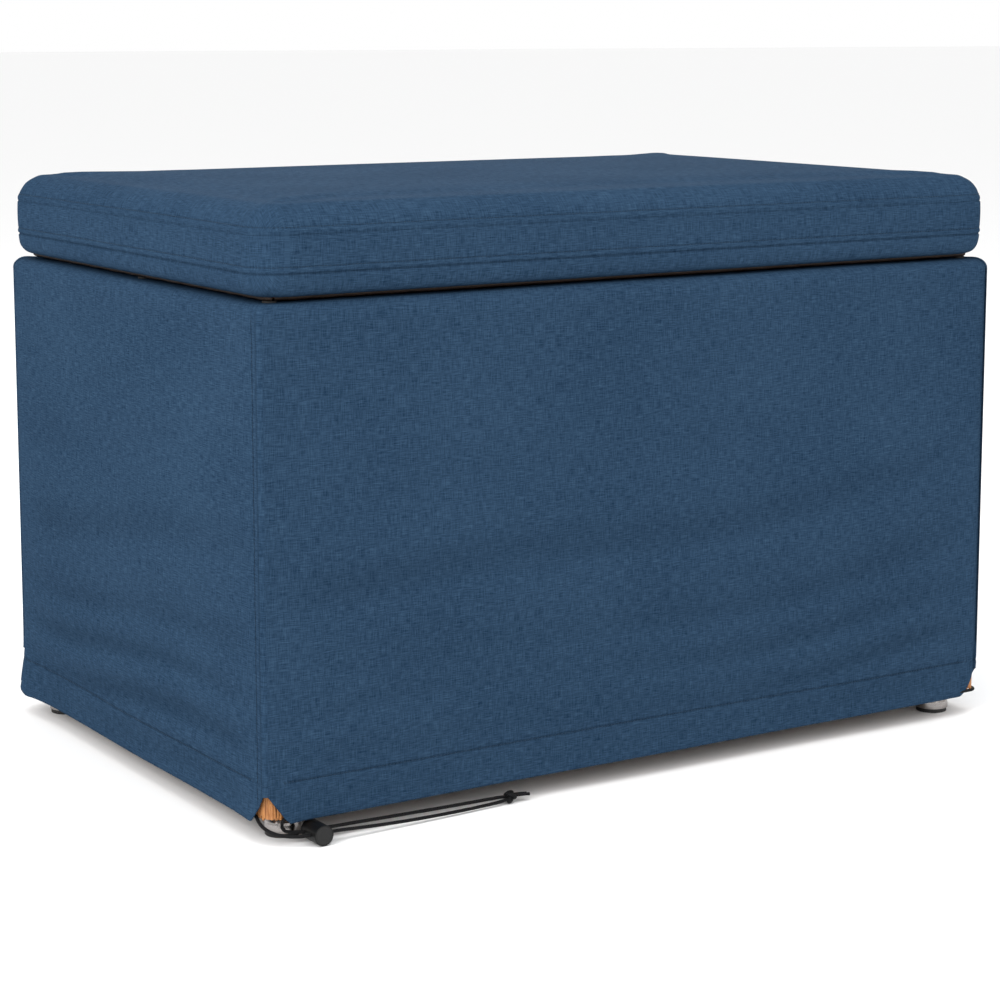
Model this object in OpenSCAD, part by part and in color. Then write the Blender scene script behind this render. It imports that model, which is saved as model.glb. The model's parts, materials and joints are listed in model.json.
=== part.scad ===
// Storage bench: a woven box on a steel tube frame, in a fitted cloth slipcover,
// with a hinged lid on gas struts and a zipped seat cushion.
// Origin: middle of the footprint on the floor. +X to the right, +Y to the back, +Z up.
// Lengths in millimetres. An inset is measured inwards from the slipcover's outer face.

/* [Overall] */
// Width of the bench over the slipcover
bench_w = 800; // [700:5:960]
// Depth of the bench over the slipcover
bench_d = 530; // [460:5:640]
// Height of the slipcover's top edge
box_top = 454; // [378:2:545]
// Height of the feet under the woven box
foot_h = 22; // [20:1:30]

/* [Slipcover] */
// Thickness of the cloth
cloth_t = 2; // [1.5:0.25:2.5]
// Height of the hem above the floor
hem_z = 19.5; // [12:0.5:20]
// Height of the tunnel in the hem that holds the drawcord
tunnel_h = 8; // [7:0.5:12]
// Rounding of the slipcover's top edge
cover_edge_r = 10; // [6:1:12]
// Height of the open notch at each bottom corner
notch_h = 25; // [20:1:40]
// Reach of the notch along each side, from the corner
notch_w = 19; // [17:0.5:24]
// How far the turned-in edge hangs down inside the box
turn_in_h = 24; // [15:1:35]

/* [Box] */
// Thickness of the woven shell
weave_t = 3.5; // [2.5:0.25:3.5]
// Side of the square steel tube
tube = 20; // [18:1:22]
// Wall of the square steel tube
tube_wall = 1.2; // [1:0.1:1.5]
// Thickness of the floor board
floor_t = 5; // [4:0.5:8]
// Thickness of the cloth lining
lining_t = 1.5; // [1:0.25:2]

/* [Feet] */
// Radius of a foot's metal cup
foot_r = 16.2; // [14:0.1:20]
// Inset of a foot's centre from both outer faces
foot_inset = 34; // [33:0.5:45]
// Radius of a foot's threaded stem
stem_r = 3; // [2.5:0.25:3.5]

/* [Lid] */
// How far the lid swings open, in degrees
lid_open = 80; // [60:1:90]
// Thickness of the woven lid
lid_t = 6; // [5:0.5:8]
// Inset of the lid's edge
lid_inset = 16; // [15:0.5:20]
// Height of the gap between the lid and the slipcover
lid_gap = 1.5; // [1.5:0.1:2]
// Distance of each hinge from the middle
hinge_x = 260; // [200:5:300]
// Radius of a hinge knuckle
knuckle_r = 3.2; // [3:0.1:3.5]
// Radius of a hinge pin
pin_r = 1.5; // [1.25:0.05:1.75]

/* [Struts] */
// Radius of a strut's cylinder
strut_r = 7.5; // [7:0.25:9]
// Radius of a strut's rod
rod_r = 4; // [3:0.25:4.5]
// Radius of the pins that the struts turn on
strut_pin_r = 4; // [3:0.25:4.5]
// Radial clearance of pins, pistons and hinges in their bores
running = 0.05; // [0.02:0.01:0.1]

/* [Cushion] */
// Height of the gap between slipcover and cushion
cushion_gap = 4; // [3.5:0.5:8]
// Thickness of the cushion
cushion_t = 77; // [64:1:95]
// Inset of the cushion's sides
cushion_inset = 1; // [0.5:0.5:4]
// Rounding of the cushion's corners, seen from above
cushion_corner_r = 32; // [30:1:45]
// Rounding of the cushion's top edge
cushion_top_r = 26; // [20:1:28]
// Rounding of the cushion's bottom edge
cushion_bottom_r = 14; // [10:1:14]
// Distance of the lower seam above the cushion's bottom
lower_seam = 23; // [18:1:25]
// Distance of the upper seam below the cushion's top
upper_seam = 22; // [18:1:25]
// Thickness of the cushion's cloth with its wadding
pad_cloth_t = 2.5; // [2.25:0.25:3]
// Length of the zip along the back
zip_l = 640; // [400:10:660]

/* [Drawcord] */
// Diameter of the cord
cord_d = 3; // [2.5:0.25:3]
// Radius of the barrel cord lock
lock_r = 8.85; // [8:0.05:10]
// Length of the barrel cord lock
lock_l = 25; // [24:0.5:30]
// How far the lock's plunger is pressed in
press = 3; // [2:0.25:3]

/* [Hidden] */
$fn = 48;
far = 2000;

// Layers of the wall, as insets
weave_in = 5.5;
wrap_in = 4;
wrap_r = 8;
wrap_end = 12.5;
tube_in = weave_in + weave_t;
lining_in = tube_in + tube;
turn_in = lining_in + lining_t;
wall_in = turn_in + cloth_t;
tunnel_in = 5.2;
cord_in = 2.4;
cord_z = hem_z + 4;
cord_bore_r = cord_d / 2 + 0.05;
mouth_in = 27;

// Heights of the box
cover_under = box_top - cloth_t;
rim_t = 4;
frame_top = cover_under - rim_t;
frame_low = foot_h + tube;
floor_top = frame_low + floor_t;
plate_t = 3;
gusset_leg = 45;

// Lid and hinge
hinge_y = bench_d / 2 - 4;
hinge_z = box_top + knuckle_r;
leaf_t = 1.2;
leaf_l = 50;
leaf_gap = 0.4;
base_leaf_w = 26;
lid_leaf_w = 35;
knuckle_l = leaf_l / 3;
lid_under = box_top + lid_gap;
lid_leaf_z = lid_under;
screw_r = 1.8;
screw_head_r = 3.4;
screw_dx = 16;
base_screw_y = hinge_y - 17;
lid_screw_y = hinge_y - 25;
lid_frame_x = 64;
lid_frame_y = 47;
rail_x = 110;
bumper_r = 6;

// Struts: pivots in the plane of the swing, as offsets from the hinge axis
strut_x = bench_w / 2 - 46;
foot_pivot = [-141, -240];
head_pivot = [-52, -14.2];
swung_head = [
    head_pivot.x * cos(lid_open) + head_pivot.y * sin(lid_open),
    -head_pivot.x * sin(lid_open) + head_pivot.y * cos(lid_open)
];
closed_l = norm(head_pivot - foot_pivot);
stroke = norm(swung_head - foot_pivot) - closed_l;
strut_angle = atan2(head_pivot.y - foot_pivot.y, head_pivot.x - foot_pivot.x);
strut_tube_l = closed_l - 28;
strut_wall = 1.3;
rod_l = stroke + 45;
gland_l = 12;
eye_r = 7;
eye_t = 8;
bracket_t = 2.5;
bracket_face = bench_w / 2 - turn_in;
lid_bracket_face = bench_w / 2 - lid_frame_x;
bracket_screw_dz = 20;

// Cushion
cushion_z = box_top + cushion_gap;
cushion_top_z = cushion_z + cushion_t;
lid_top = lid_under + lid_t;
strip_t = 1;
lid_fit = 0.5;
zip_z = (cushion_z + lower_seam + cushion_top_z - upper_seam) / 2;
zip_back = bench_d / 2 - cushion_inset;
zip_recess = 1.6;
zip_h = 26;
coil_w = 5;
slider_x = zip_l / 2 - 20;

// Drawcord and lock, measured from the front left corner of the slipcover
corner = [-bench_w / 2, -bench_d / 2, 0];
lock_x = 46;
lock_front = -18.2;
lock_z = 9.3;
lock_bore_r = lock_r - 1;
lock_bore_l = lock_l - 1.5;
strand_front = -10.3;
strand_back = 1.3;
slot_r = cord_d / 2 + 0.2;
knot = [241, -1.5, 5.75];
left_route = [
    [2.4, 27, cord_z], [3.2, 22, 22.5], [2.8, 17, 19.5], [4, 11.5, 16], [8, 5.5, 12.5], [15, -1.5, 10.2],
    [25, -7.5, 9.3], [33, -10, 9.3], [40, strand_front, lock_z], [46, strand_front, lock_z],
    [53, strand_front, lock_z], [58, -10.2, 9.2], [70, -9.9, 8.5], [90, -9.3, 7.1], [115, -8.4, 5.6],
    [140, -7.4, 4.5], [165, -6.3, 3.8], [190, -5.1, 3.4], [212, -3.9, 3.4], [228, -3, 3.7], [237, -2.4, 4.6]
];
front_route = [
    [27, 2.4, cord_z], [23.6, 3.1, 23.2], [19.6, 3.7, 21.5], [17.8, 3.7, 17.2], [19.6, 3.4, 12.9],
    [24, 2.9, 10.9], [30, 2.1, 9.8], [37, strand_back, lock_z], [46, strand_back, lock_z],
    [53, strand_back, lock_z], [58, 1.3, 9.3], [70, 1.4, 9.1], [90, 1.5, 8.7], [115, 1.6, 8.1],
    [140, 1.6, 7.6], [165, 1.5, 7.2], [190, 1.3, 6.9], [212, 1.1, 6.8], [228, 0.9, 6.7], [237, 0.6, 6.3]
];

// Child in all four corners, drawn for the front left one
module four_corners() {
    for (mx = [0, 1], my = [0, 1]) mirror([mx, 0, 0]) mirror([0, my, 0]) children();
}

// Child and its mirror image across the middle plane
module both_sides() {
    for (mx = [0, 1]) mirror([mx, 0, 0]) children();
}

// Box between two opposite corners
module span(low, high) {
    translate(low) cube(high - low);
}

// Upright block with the given inset from the bench's outline, between two heights
module inset_block(inset, low, high) {
    span([-bench_w / 2 + inset, -bench_d / 2 + inset, low], [bench_w / 2 - inset, bench_d / 2 - inset, high]);
}

// Closed ring between two insets
module ring(outer, inner, low, high) {
    difference() {
        inset_block(outer, low, high);
        inset_block(inner, low - 1, high + 1);
    }
}

// Ring of square tube, hollow all the way round
module tube_ring(inset, low) {
    difference() {
        ring(inset, inset + tube, low, low + tube);
        ring(inset + tube_wall, inset + tube - tube_wall, low + tube_wall, low + tube - tube_wall);
    }
}

// Straight square tube between two corners, open at its ends along one axis (0, 1 or 2)
module tube_between(low, high, axis) {
    wall = [for (i = [0:2]) i == axis ? -1 : tube_wall];
    difference() {
        span(low, high);
        span(low + wall, high - wall);
    }
}

// Round bar from a point along X, outwards on the right
module bar_x(from, to, r) {
    translate([from, 0, 0]) rotate([0, 90, 0]) cylinder(r = r, h = to - from);
}

module bottom_frame() {
    color([0.22, 0.15, 0.1]) tube_ring(tube_in, foot_h);
}

module cross_rails() {
    y = bench_d / 2 - lining_in;
    color([0.22, 0.15, 0.1]) both_sides()
        tube_between([bench_w / 6 - tube / 2, -y, foot_h], [bench_w / 6 + tube / 2, y, frame_low], 1);
}

module corner_post_at(low, high, hollow) {
    x = -bench_w / 2 + tube_in;
    y = -bench_d / 2 + tube_in;
    if (hollow) tube_between([x, y, low], [x + tube, y + tube, high], 2);
    else span([x, y, low], [x + tube, y + tube, high]);
}

module corner_posts() {
    color([0.22, 0.15, 0.1]) four_corners() corner_post_at(frame_low, frame_top - tube, true);
}

// Blocks or tubes that stand between the corners: one front and back, one on each side behind a strut
module uprights(low, high, hollow) {
    x = bench_w / 2 - tube_in;
    y = bench_d / 2 - tube_in;
    side_y = hinge_y + foot_pivot.x;
    places = [
        [-tube / 2, -y], [-tube / 2, y - tube], [-x, side_y - tube / 2], [x - tube, side_y - tube / 2]
    ];
    for (p = places)
        if (hollow) tube_between([p.x, p.y, low], [p.x + tube, p.y + tube, high], 2);
        else span([p.x, p.y, low], [p.x + tube, p.y + tube, high]);
}

module wall_uprights() {
    color([0.22, 0.15, 0.1]) difference() {
        uprights(frame_low, frame_top - tube, true);
        strut_bracket_screw_shafts();
    }
}

module top_frame() {
    color([0.22, 0.15, 0.1]) difference() {
        tube_ring(tube_in, frame_top - tube);
        base_screw_shafts();
    }
}

module corner_gussets() {
    color([0.22, 0.15, 0.1]) four_corners() difference() {
        translate([-bench_w / 2 + lining_in, -bench_d / 2 + lining_in, foot_h])
            linear_extrude(plate_t) polygon([[0, 0], [gusset_leg, 0], [0, gusset_leg]]);
        foot_place() cylinder(r = stem_r, h = 99);
    }
}

module floor_board() {
    color([0.45, 0.32, 0.2]) difference() {
        inset_block(tube_in + 10, frame_low, floor_top);
        four_corners() corner_post_at(frame_low - 1, floor_top + 1, false);
        uprights(frame_low - 1, floor_top + 1, false);
    }
}

// One woven panel of the given length, its outer face at local y = 0
module weave_panel(length) {
    span([-length / 2, 0, foot_h], [length / 2, weave_t, frame_top]);
}

module front_weave() {
    color([0.75, 0.46, 0.22]) translate([0, -bench_d / 2 + weave_in, 0]) weave_panel(bench_w - 2 * wrap_end);
}

module back_weave() {
    color([0.75, 0.46, 0.22]) rotate(180) translate([0, -bench_d / 2 + weave_in, 0])
        weave_panel(bench_w - 2 * wrap_end);
}

module left_weave() {
    color([0.75, 0.46, 0.22]) rotate(-90) translate([0, -bench_w / 2 + weave_in, 0])
        weave_panel(bench_d - 2 * wrap_end);
}

module right_weave() {
    color([0.75, 0.46, 0.22]) rotate(90) translate([0, -bench_w / 2 + weave_in, 0])
        weave_panel(bench_d - 2 * wrap_end);
}

module corner_wraps() {
    color([0.75, 0.46, 0.22]) four_corners()
        translate([-bench_w / 2, -bench_d / 2, foot_h]) linear_extrude(frame_top - foot_h) difference() {
            intersection() {
                translate([wrap_in, wrap_in]) square(wrap_end - wrap_in);
                union() {
                    translate([wrap_in + wrap_r, wrap_in + wrap_r]) circle(wrap_r);
                    translate([wrap_in, wrap_in + wrap_r]) square(wrap_r);
                    translate([wrap_in + wrap_r, wrap_in]) square(wrap_r);
                }
            }
            translate([tube_in, tube_in]) square(far);
        }
}

module rim_weave() {
    color([0.75, 0.46, 0.22]) difference() {
        ring(cover_edge_r, lining_in, frame_top, cover_under);
        base_screw_shafts();
    }
}

module lining() {
    color([0.6, 0.57, 0.5]) difference() {
        inset_block(lining_in, floor_top, cover_under);
        inset_block(turn_in, floor_top + lining_t, cover_under + 1);
        strut_bracket_screw_shafts();
    }
}

// Section of one side of the slipcover: outer wall, hem tunnel, rounded top edge, turned-in edge.
// x is the inset and y is the height.
module cover_section() {
    straight = box_top - cover_edge_r;
    fold_y = box_top - turn_in_h;
    translate([0, hem_z]) square([cloth_t, straight - hem_z]);
    translate([0, hem_z]) square([tunnel_in, tunnel_h]);
    intersection() {
        translate([cover_edge_r, straight]) difference() {
            circle(cover_edge_r);
            circle(cover_edge_r - cloth_t);
        }
        translate([0, straight]) square(cover_edge_r);
    }
    translate([cover_edge_r, cover_under]) square([wall_in - cover_edge_r, cloth_t]);
    translate([turn_in, fold_y]) square([cloth_t, box_top - fold_y]);
}

// One side of the slipcover. mouth is -1 or 1 where the cord leaves the tunnel at that end, else 0.
module cover_side(length, mouth) {
    difference() {
        intersection() {
            rotate([90, 0, 90]) translate([0, 0, -length / 2]) linear_extrude(length) cover_section();
            linear_extrude(far) polygon([
                [-length / 2, 0], [length / 2, 0], [length / 2 - wall_in, wall_in], [-length / 2 + wall_in, wall_in]
            ]);
        }
        for (side = [-1, 1]) {
            translate([0, -1, 0]) rotate([90, 0, 0]) mirror([0, 0, 1]) linear_extrude(wall_in) polygon([
                [side * length, hem_z - 1], [side * (length / 2 - notch_w), hem_z - 1],
                [side * (length / 2 - notch_w), hem_z], [side * length / 2, hem_z + notch_h],
                [side * length, hem_z + notch_h]
            ]);
        }
        translate([-length / 2 + (mouth < 0 ? mouth_in : 0), cord_in, cord_z])
            rotate([0, 90, 0]) cylinder(r = cord_bore_r, h = length - (mouth == 0 ? 0 : mouth_in));
        if (mouth != 0) translate([mouth * (length / 2 - mouth_in / 2), cloth_t + 5, cord_z])
            cube([mouth_in, 10, 2 * tunnel_h + 4], center = true);
    }
}

module front_cover() {
    color([0.2, 0.3, 0.4]) translate([0, -bench_d / 2, 0]) cover_side(bench_w, -1);
}

module back_cover() {
    color([0.2, 0.3, 0.4]) difference() {
        rotate(180) translate([0, -bench_d / 2, 0]) cover_side(bench_w, 0);
        base_screw_shafts();
    }
}

module left_cover() {
    color([0.2, 0.3, 0.4]) rotate(-90) translate([0, -bench_w / 2, 0]) cover_side(bench_d, 1);
}

module right_cover() {
    color([0.2, 0.3, 0.4]) rotate(90) translate([0, -bench_w / 2, 0]) cover_side(bench_d, 0);
}

// The stretch of cord inside the hem, once round the bench from the front left corner
module drawcord() {
    r = cord_d / 2;
    bend = 8;
    x = bench_w / 2 - cord_in;
    y = bench_d / 2 - cord_in;
    color([0.04, 0.04, 0.04]) translate([0, 0, cord_z]) {
        translate([corner.x + mouth_in, -y, 0]) rotate([0, 90, 0]) cylinder(r = r, h = x - bend - corner.x - mouth_in);
        translate([x, -y + bend, 0]) rotate([-90, 0, 0]) cylinder(r = r, h = 2 * (y - bend));
        translate([-x + bend, y, 0]) rotate([0, 90, 0]) cylinder(r = r, h = 2 * (x - bend));
        translate([-x, corner.y + mouth_in, 0]) rotate([-90, 0, 0]) cylinder(r = r, h = y - bend - corner.y - mouth_in);
        for (c = [[x - bend, -y + bend, -90], [x - bend, y - bend, 0], [-x + bend, y - bend, 90]])
            translate([c.x, c.y, 0]) rotate(c.z) rotate_extrude(angle = 90) translate([bend, 0]) circle(r);
    }
}

// Point on a smooth curve through four neighbouring points of a route
function curve_point(a, b, c, d, t) =
    0.5 * (2 * b + (c - a) * t + (2 * a - 5 * b + 4 * c - d) * t * t + (3 * b - a - 3 * c + d) * t * t * t);
function curve_slope(a, b, c, d, t) =
    0.5 * (c - a + 2 * (2 * a - 5 * b + 4 * c - d) * t + 3 * (3 * b - a - 3 * c + d) * t * t);
function at(route, i) = route[max(0, min(len(route) - 1, i))];
function sideways(along) = let (s = cross(along, [0, 0.02, 1])) s / norm(s);

// Eight-sided cord swept along a route: a ring at each point and none between, ends closed
module swept_cord(route) {
    n = len(route);
    sides = 8;
    r = cord_d / 2;
    rings = [for (i = [0:n - 1])
        let (
            p = i < n - 1 ? curve_point(at(route, i - 1), at(route, i), at(route, i + 1), at(route, i + 2), 0)
                : route[n - 1],
            along = i < n - 1 ? curve_slope(at(route, i - 1), at(route, i), at(route, i + 1), at(route, i + 2), 0)
                : route[n - 1] - route[n - 2],
            u = sideways(along),
            v = cross(u, along) / norm(along)
        )
        for (k = [0:sides - 1]) p + r * (u * cos(360 * k / sides) + v * sin(360 * k / sides))
    ];
    walls = [for (i = [0:n - 2], k = [0:sides - 1])
        [i * sides + k, i * sides + (k + 1) % sides, (i + 1) * sides + (k + 1) % sides, (i + 1) * sides + k]];
    ends = [[for (k = [sides - 1:-1:0]) k], [for (k = [0:sides - 1]) (n - 1) * sides + k]];
    color([0.04, 0.04, 0.04]) translate(corner) polyhedron(rings, concat(walls, ends), convexity = 6);
}

module left_cord_end() {
    swept_cord(left_route);
}

module front_cord_end() {
    swept_cord(front_route);
}

// Overhand knot that holds both ends, with its short tail
module cord_knot() {
    r = cord_d / 2;
    color([0.04, 0.04, 0.04]) translate(corner + knot) {
        rotate([0, 90, 0]) rotate_extrude() translate([3.2, 0]) circle(r + 0.4);
        sphere(4.4);
        rotate([0, 90, -3]) cylinder(r = r, h = 20);
    }
}

module cord_lock_barrel() {
    color([0.05, 0.05, 0.05]) translate(corner + [lock_x, lock_front, lock_z]) difference() {
        rotate([-90, 0, 0]) cylinder(r = lock_r, h = lock_l);
        translate([0, -1, 0]) rotate([-90, 0, 0]) cylinder(r = lock_bore_r, h = lock_bore_l + 1);
        for (y = [strand_front, strand_back])
            translate([-lock_r - 1, y - lock_front, 0]) rotate([0, 90, 0]) cylinder(r = slot_r, h = 2 * lock_r + 2);
    }
}

module cord_lock_plunger() {
    reach = strand_back - lock_front;
    color([0.12, 0.12, 0.12]) translate(corner + [lock_x, lock_front, lock_z]) difference() {
        rotate([-90, 0, 0]) cylinder(r = lock_bore_r - running, h = reach);
        for (y = [strand_front - lock_front, reach])
            translate([-lock_r, y - press - slot_r, -slot_r]) cube([2 * lock_r, press + 2 * slot_r, 2 * slot_r]);
    }
}

// Wave washer at the bottom of the lock, drawn pressed flat
module cord_lock_spring() {
    color([0.6, 0.6, 0.6]) translate(corner + [lock_x, lock_front + lock_bore_l - 0.6, lock_z])
        rotate([-90, 0, 0]) difference() {
            cylinder(r = lock_bore_r - 0.5, h = 0.6);
            translate([0, 0, -1]) cylinder(r = lock_bore_r - 2.5, h = 3);
        }
}

// Moves to the foot of the front left corner
module foot_place() {
    translate([-bench_w / 2 + foot_inset, -bench_d / 2 + foot_inset, 0]) children();
}

module foot_pads() {
    color([0.05, 0.05, 0.05]) four_corners() foot_place() difference() {
        union() {
            cylinder(r = foot_r - 1.2, h = 4);
            cylinder(r = foot_r - 3.2, h = 5.5);
        }
        translate([0, 0, 3]) cylinder(r = stem_r, h = 5);
    }
}

// Domed metal cup: a rim, a dome that is part of an ellipse, and a short neck
module foot_cups() {
    dome = [for (a = [0:10:70]) [8 + (foot_r - 8) * cos(a), 6 + (foot_h - 8.5) * sin(a)]];
    color([0.7, 0.7, 0.72]) four_corners() foot_place() rotate_extrude() polygon(concat(
        [[foot_r - 3, 4], [foot_r, 4]], dome, [[8, foot_h], [stem_r, foot_h], [stem_r, foot_h - 4], [foot_r - 3, 5.5]]
    ));
}

module foot_stems() {
    color([0.7, 0.7, 0.72]) four_corners() foot_place() translate([0, 0, 3]) cylinder(r = stem_r, h = foot_h + 9);
}

module foot_nuts() {
    color([0.7, 0.7, 0.72]) four_corners() foot_place() translate([0, 0, foot_h + plate_t]) difference() {
        cylinder(r = 4.8, h = 6);
        translate([0, 0, -1]) cylinder(r = stem_r, h = 8);
    }
}

module lid_bumpers() {
    color([0.08, 0.08, 0.08]) both_sides() for (y = [-bench_d / 2 + 24, 0])
        translate([-bench_w / 2 + 23, y, box_top]) cylinder(r = bumper_r, h = lid_gap - 0.1);
}

// Screws through the fixed hinge leaves, straight down into the top frame
module base_screw_places() {
    both_sides() for (x = [hinge_x - screw_dx, hinge_x + screw_dx]) translate([x, base_screw_y, 0]) children();
}

module base_screw_shafts() {
    base_screw_places() translate([0, 0, box_top - 14]) cylinder(r = screw_r, h = 20);
}

module hinge_base_screws() {
    color([0.75, 0.75, 0.76]) base_screw_places() {
        translate([0, 0, box_top - 14]) cylinder(r = screw_r, h = 14);
        translate([0, 0, box_top]) cylinder(r1 = screw_r, r2 = screw_head_r, h = leaf_t);
    }
}

module knuckle(from, bore_r) {
    translate([from, hinge_y, hinge_z]) difference() {
        bar_x(0, knuckle_l - 0.1, knuckle_r);
        bar_x(-1, knuckle_l + 1, bore_r);
    }
}

module hinge_base_leaves() {
    edge = hinge_y - knuckle_r - leaf_gap;
    low_x = hinge_x - leaf_l / 2;
    color([0.75, 0.75, 0.76]) both_sides() difference() {
        union() {
            span([low_x, hinge_y - base_leaf_w, box_top], [low_x + leaf_l, edge, box_top + leaf_t]);
            for (i = [0, 2]) {
                knuckle(low_x + i * knuckle_l, pin_r);
                span(
                    [low_x + i * knuckle_l, edge - 1, box_top],
                    [low_x + (i + 1) * knuckle_l - 0.1, hinge_y - pin_r, box_top + leaf_t]
                );
            }
        }
        for (x = [hinge_x - screw_dx, hinge_x + screw_dx]) translate([x, base_screw_y, box_top])
            cylinder(r1 = screw_r, r2 = screw_head_r, h = leaf_t);
    }
}

module hinge_pins() {
    color([0.6, 0.6, 0.62]) both_sides() translate([hinge_x - leaf_l / 2, hinge_y, hinge_z]) bar_x(0, leaf_l - 0.1, pin_r);
}

module hinge_lid_leaves() {
    edge = hinge_y - knuckle_r - leaf_gap;
    low_x = hinge_x - leaf_l / 2;
    color([0.75, 0.75, 0.76]) both_sides() difference() {
        union() {
            span([low_x, hinge_y - lid_leaf_w, lid_leaf_z], [low_x + leaf_l, edge, lid_leaf_z + leaf_t]);
            knuckle(low_x + knuckle_l, pin_r + running);
            span(
                [low_x + knuckle_l, edge - 1, lid_leaf_z],
                [low_x + 2 * knuckle_l - 0.1, hinge_y - pin_r - 0.6, lid_leaf_z + leaf_t]
            );
        }
        lid_screw_places() cylinder(r1 = screw_head_r, r2 = screw_r, h = leaf_t);
    }
}

module lid_screw_places() {
    for (x = [hinge_x - screw_dx, hinge_x + screw_dx]) translate([x, lid_screw_y, lid_leaf_z]) children();
}

module hinge_lid_screws() {
    color([0.75, 0.75, 0.76]) both_sides() lid_screw_places() {
        cylinder(r1 = screw_head_r, r2 = screw_r, h = leaf_t);
        cylinder(r = screw_r, h = leaf_t + 4);
    }
}

// Moves to a strut's pivot, given as an offset from the hinge axis
module at_pivot(p, x) {
    translate([x, hinge_y + p.x, hinge_z + p.y]) children();
}

module strut_bracket_screw_shafts() {
    both_sides() for (dz = [-bracket_screw_dz, bracket_screw_dz])
        at_pivot(foot_pivot + [0, dz], 0) bar_x(bracket_face - 1, bracket_face + 16, 2);
}

module strut_base_brackets() {
    color([0.1, 0.1, 0.1]) both_sides() {
        difference() {
            at_pivot(foot_pivot, 0) span([bracket_face - bracket_t, -11, -28], [bracket_face, 11, 28]);
            for (dz = [-bracket_screw_dz, bracket_screw_dz])
                at_pivot(foot_pivot + [0, dz], 0) bar_x(bracket_face - 9, bracket_face + 9, 2);
        }
        at_pivot(foot_pivot, 0) bar_x(strut_x - eye_t / 2 - 1, bracket_face - bracket_t, strut_pin_r);
        at_pivot(foot_pivot, 0) bar_x(strut_x - eye_t / 2 - 2, strut_x - eye_t / 2 - 0.5, strut_pin_r + 2);
    }
}

module strut_bracket_screws() {
    color([0.75, 0.75, 0.76]) both_sides() for (dz = [-bracket_screw_dz, bracket_screw_dz])
        at_pivot(foot_pivot + [0, dz], 0) {
            bar_x(bracket_face - bracket_t, bracket_face + 14, 2);
            bar_x(bracket_face - bracket_t - 1.8, bracket_face - bracket_t, 4);
        }
}

// Plate on the outer face of the lid frame that the strut's head rides beside
module strut_lid_brackets() {
    color([0.1, 0.1, 0.1]) both_sides() at_pivot(head_pivot, 0) span(
        [lid_bracket_face, -16, lid_under - tube + 2 - hinge_z - head_pivot.y],
        [lid_bracket_face + bracket_t, 22, lid_under - hinge_z - head_pivot.y]
    );
}

// Runs along a closed strut on the right, from its foot pivot
module along_strut() {
    at_pivot(foot_pivot, strut_x) rotate([strut_angle - 90, 0, 0]) children();
}

module strut_tube_shape() {
    difference() {
        union() {
            along_strut() translate([0, 0, eye_r + 1]) cylinder(r = strut_r, h = strut_tube_l - eye_r - 1);
            at_pivot(foot_pivot, strut_x) bar_x(-eye_t / 2, eye_t / 2, eye_r);
            along_strut() cylinder(r = 3.5, h = eye_r + 3);
        }
        along_strut() translate([0, 0, eye_r + 5])
            cylinder(r = strut_r - strut_wall, h = strut_tube_l - eye_r - 5 - gland_l);
        along_strut() translate([0, 0, strut_tube_l - gland_l - 1]) cylinder(r = rod_r + running, h = gland_l + 2);
        at_pivot(foot_pivot, strut_x) bar_x(-eye_t, eye_t, strut_pin_r + running);
    }
}

module strut_rod_shape() {
    piston_l = 8;
    along_strut() translate([0, 0, closed_l - rod_l - eye_r + 2]) {
        cylinder(r = rod_r, h = rod_l);
        cylinder(r = strut_r - strut_wall - running, h = piston_l);
    }
    at_pivot(head_pivot, strut_x) bar_x(-eye_t / 2, eye_t / 2, eye_r);
    at_pivot(head_pivot, 0) bar_x(lid_bracket_face + bracket_t + 0.5, strut_x - eye_t / 2, strut_pin_r);
}

module right_strut_tube() {
    color([0.06, 0.06, 0.06]) strut_tube_shape();
}

module left_strut_tube() {
    color([0.06, 0.06, 0.06]) mirror([1, 0, 0]) strut_tube_shape();
}

module right_strut_rod() {
    color([0.8, 0.8, 0.82]) strut_rod_shape();
}

module left_strut_rod() {
    color([0.8, 0.8, 0.82]) mirror([1, 0, 0]) strut_rod_shape();
}

module lid_frame() {
    x = bench_w / 2 - lid_frame_x;
    y = bench_d / 2 - lid_frame_y;
    z = lid_under - tube;
    t = [tube, tube, 0];
    w = [tube_wall, tube_wall, tube_wall];
    color([0.22, 0.15, 0.1]) difference() {
        span([-x, -y, z], [x, y, lid_under]);
        span([-x, -y, z - 1] + t, [x, y, lid_under + 1] - t);
        difference() {
            span([-x, -y, z] + w, [x, y, lid_under] - w);
            span([-x, -y, z - 1] + t - [tube_wall, tube_wall, 0], [x, y, lid_under + 1] - t + [tube_wall, tube_wall, 0]);
        }
    }
}

module lid_rails() {
    y = bench_d / 2 - lid_frame_y - tube;
    color([0.22, 0.15, 0.1]) both_sides()
        tube_between([rail_x - tube / 2, -y, lid_under - tube], [rail_x + tube / 2, y, lid_under], 1);
}

module lid_weave() {
    slot_x = leaf_l / 2 + 0.5;
    color([0.6, 0.35, 0.18]) difference() {
        inset_block(lid_inset, lid_under, lid_top);
        both_sides() span(
            [hinge_x - slot_x, hinge_y - lid_leaf_w - 0.5, lid_under - 1], [hinge_x + slot_x, far, lid_leaf_z + leaf_t]
        );
        both_sides() lid_screw_places() cylinder(r = screw_r, h = leaf_t + 4);
    }
}

module strip_places() {
    both_sides() for (y = [-bench_d / 3, bench_d / 3]) translate([bench_w / 4, y, 0]) children();
}

module hook_strips() {
    color([0.1, 0.1, 0.1]) strip_places() translate([-60, -12.5, lid_top]) cube([120, 25, strip_t]);
}

module loop_strips() {
    color([0.15, 0.15, 0.15]) strip_places() translate([-60, -12.5, lid_top + strip_t]) cube([120, 25, strip_t]);
}

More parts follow.
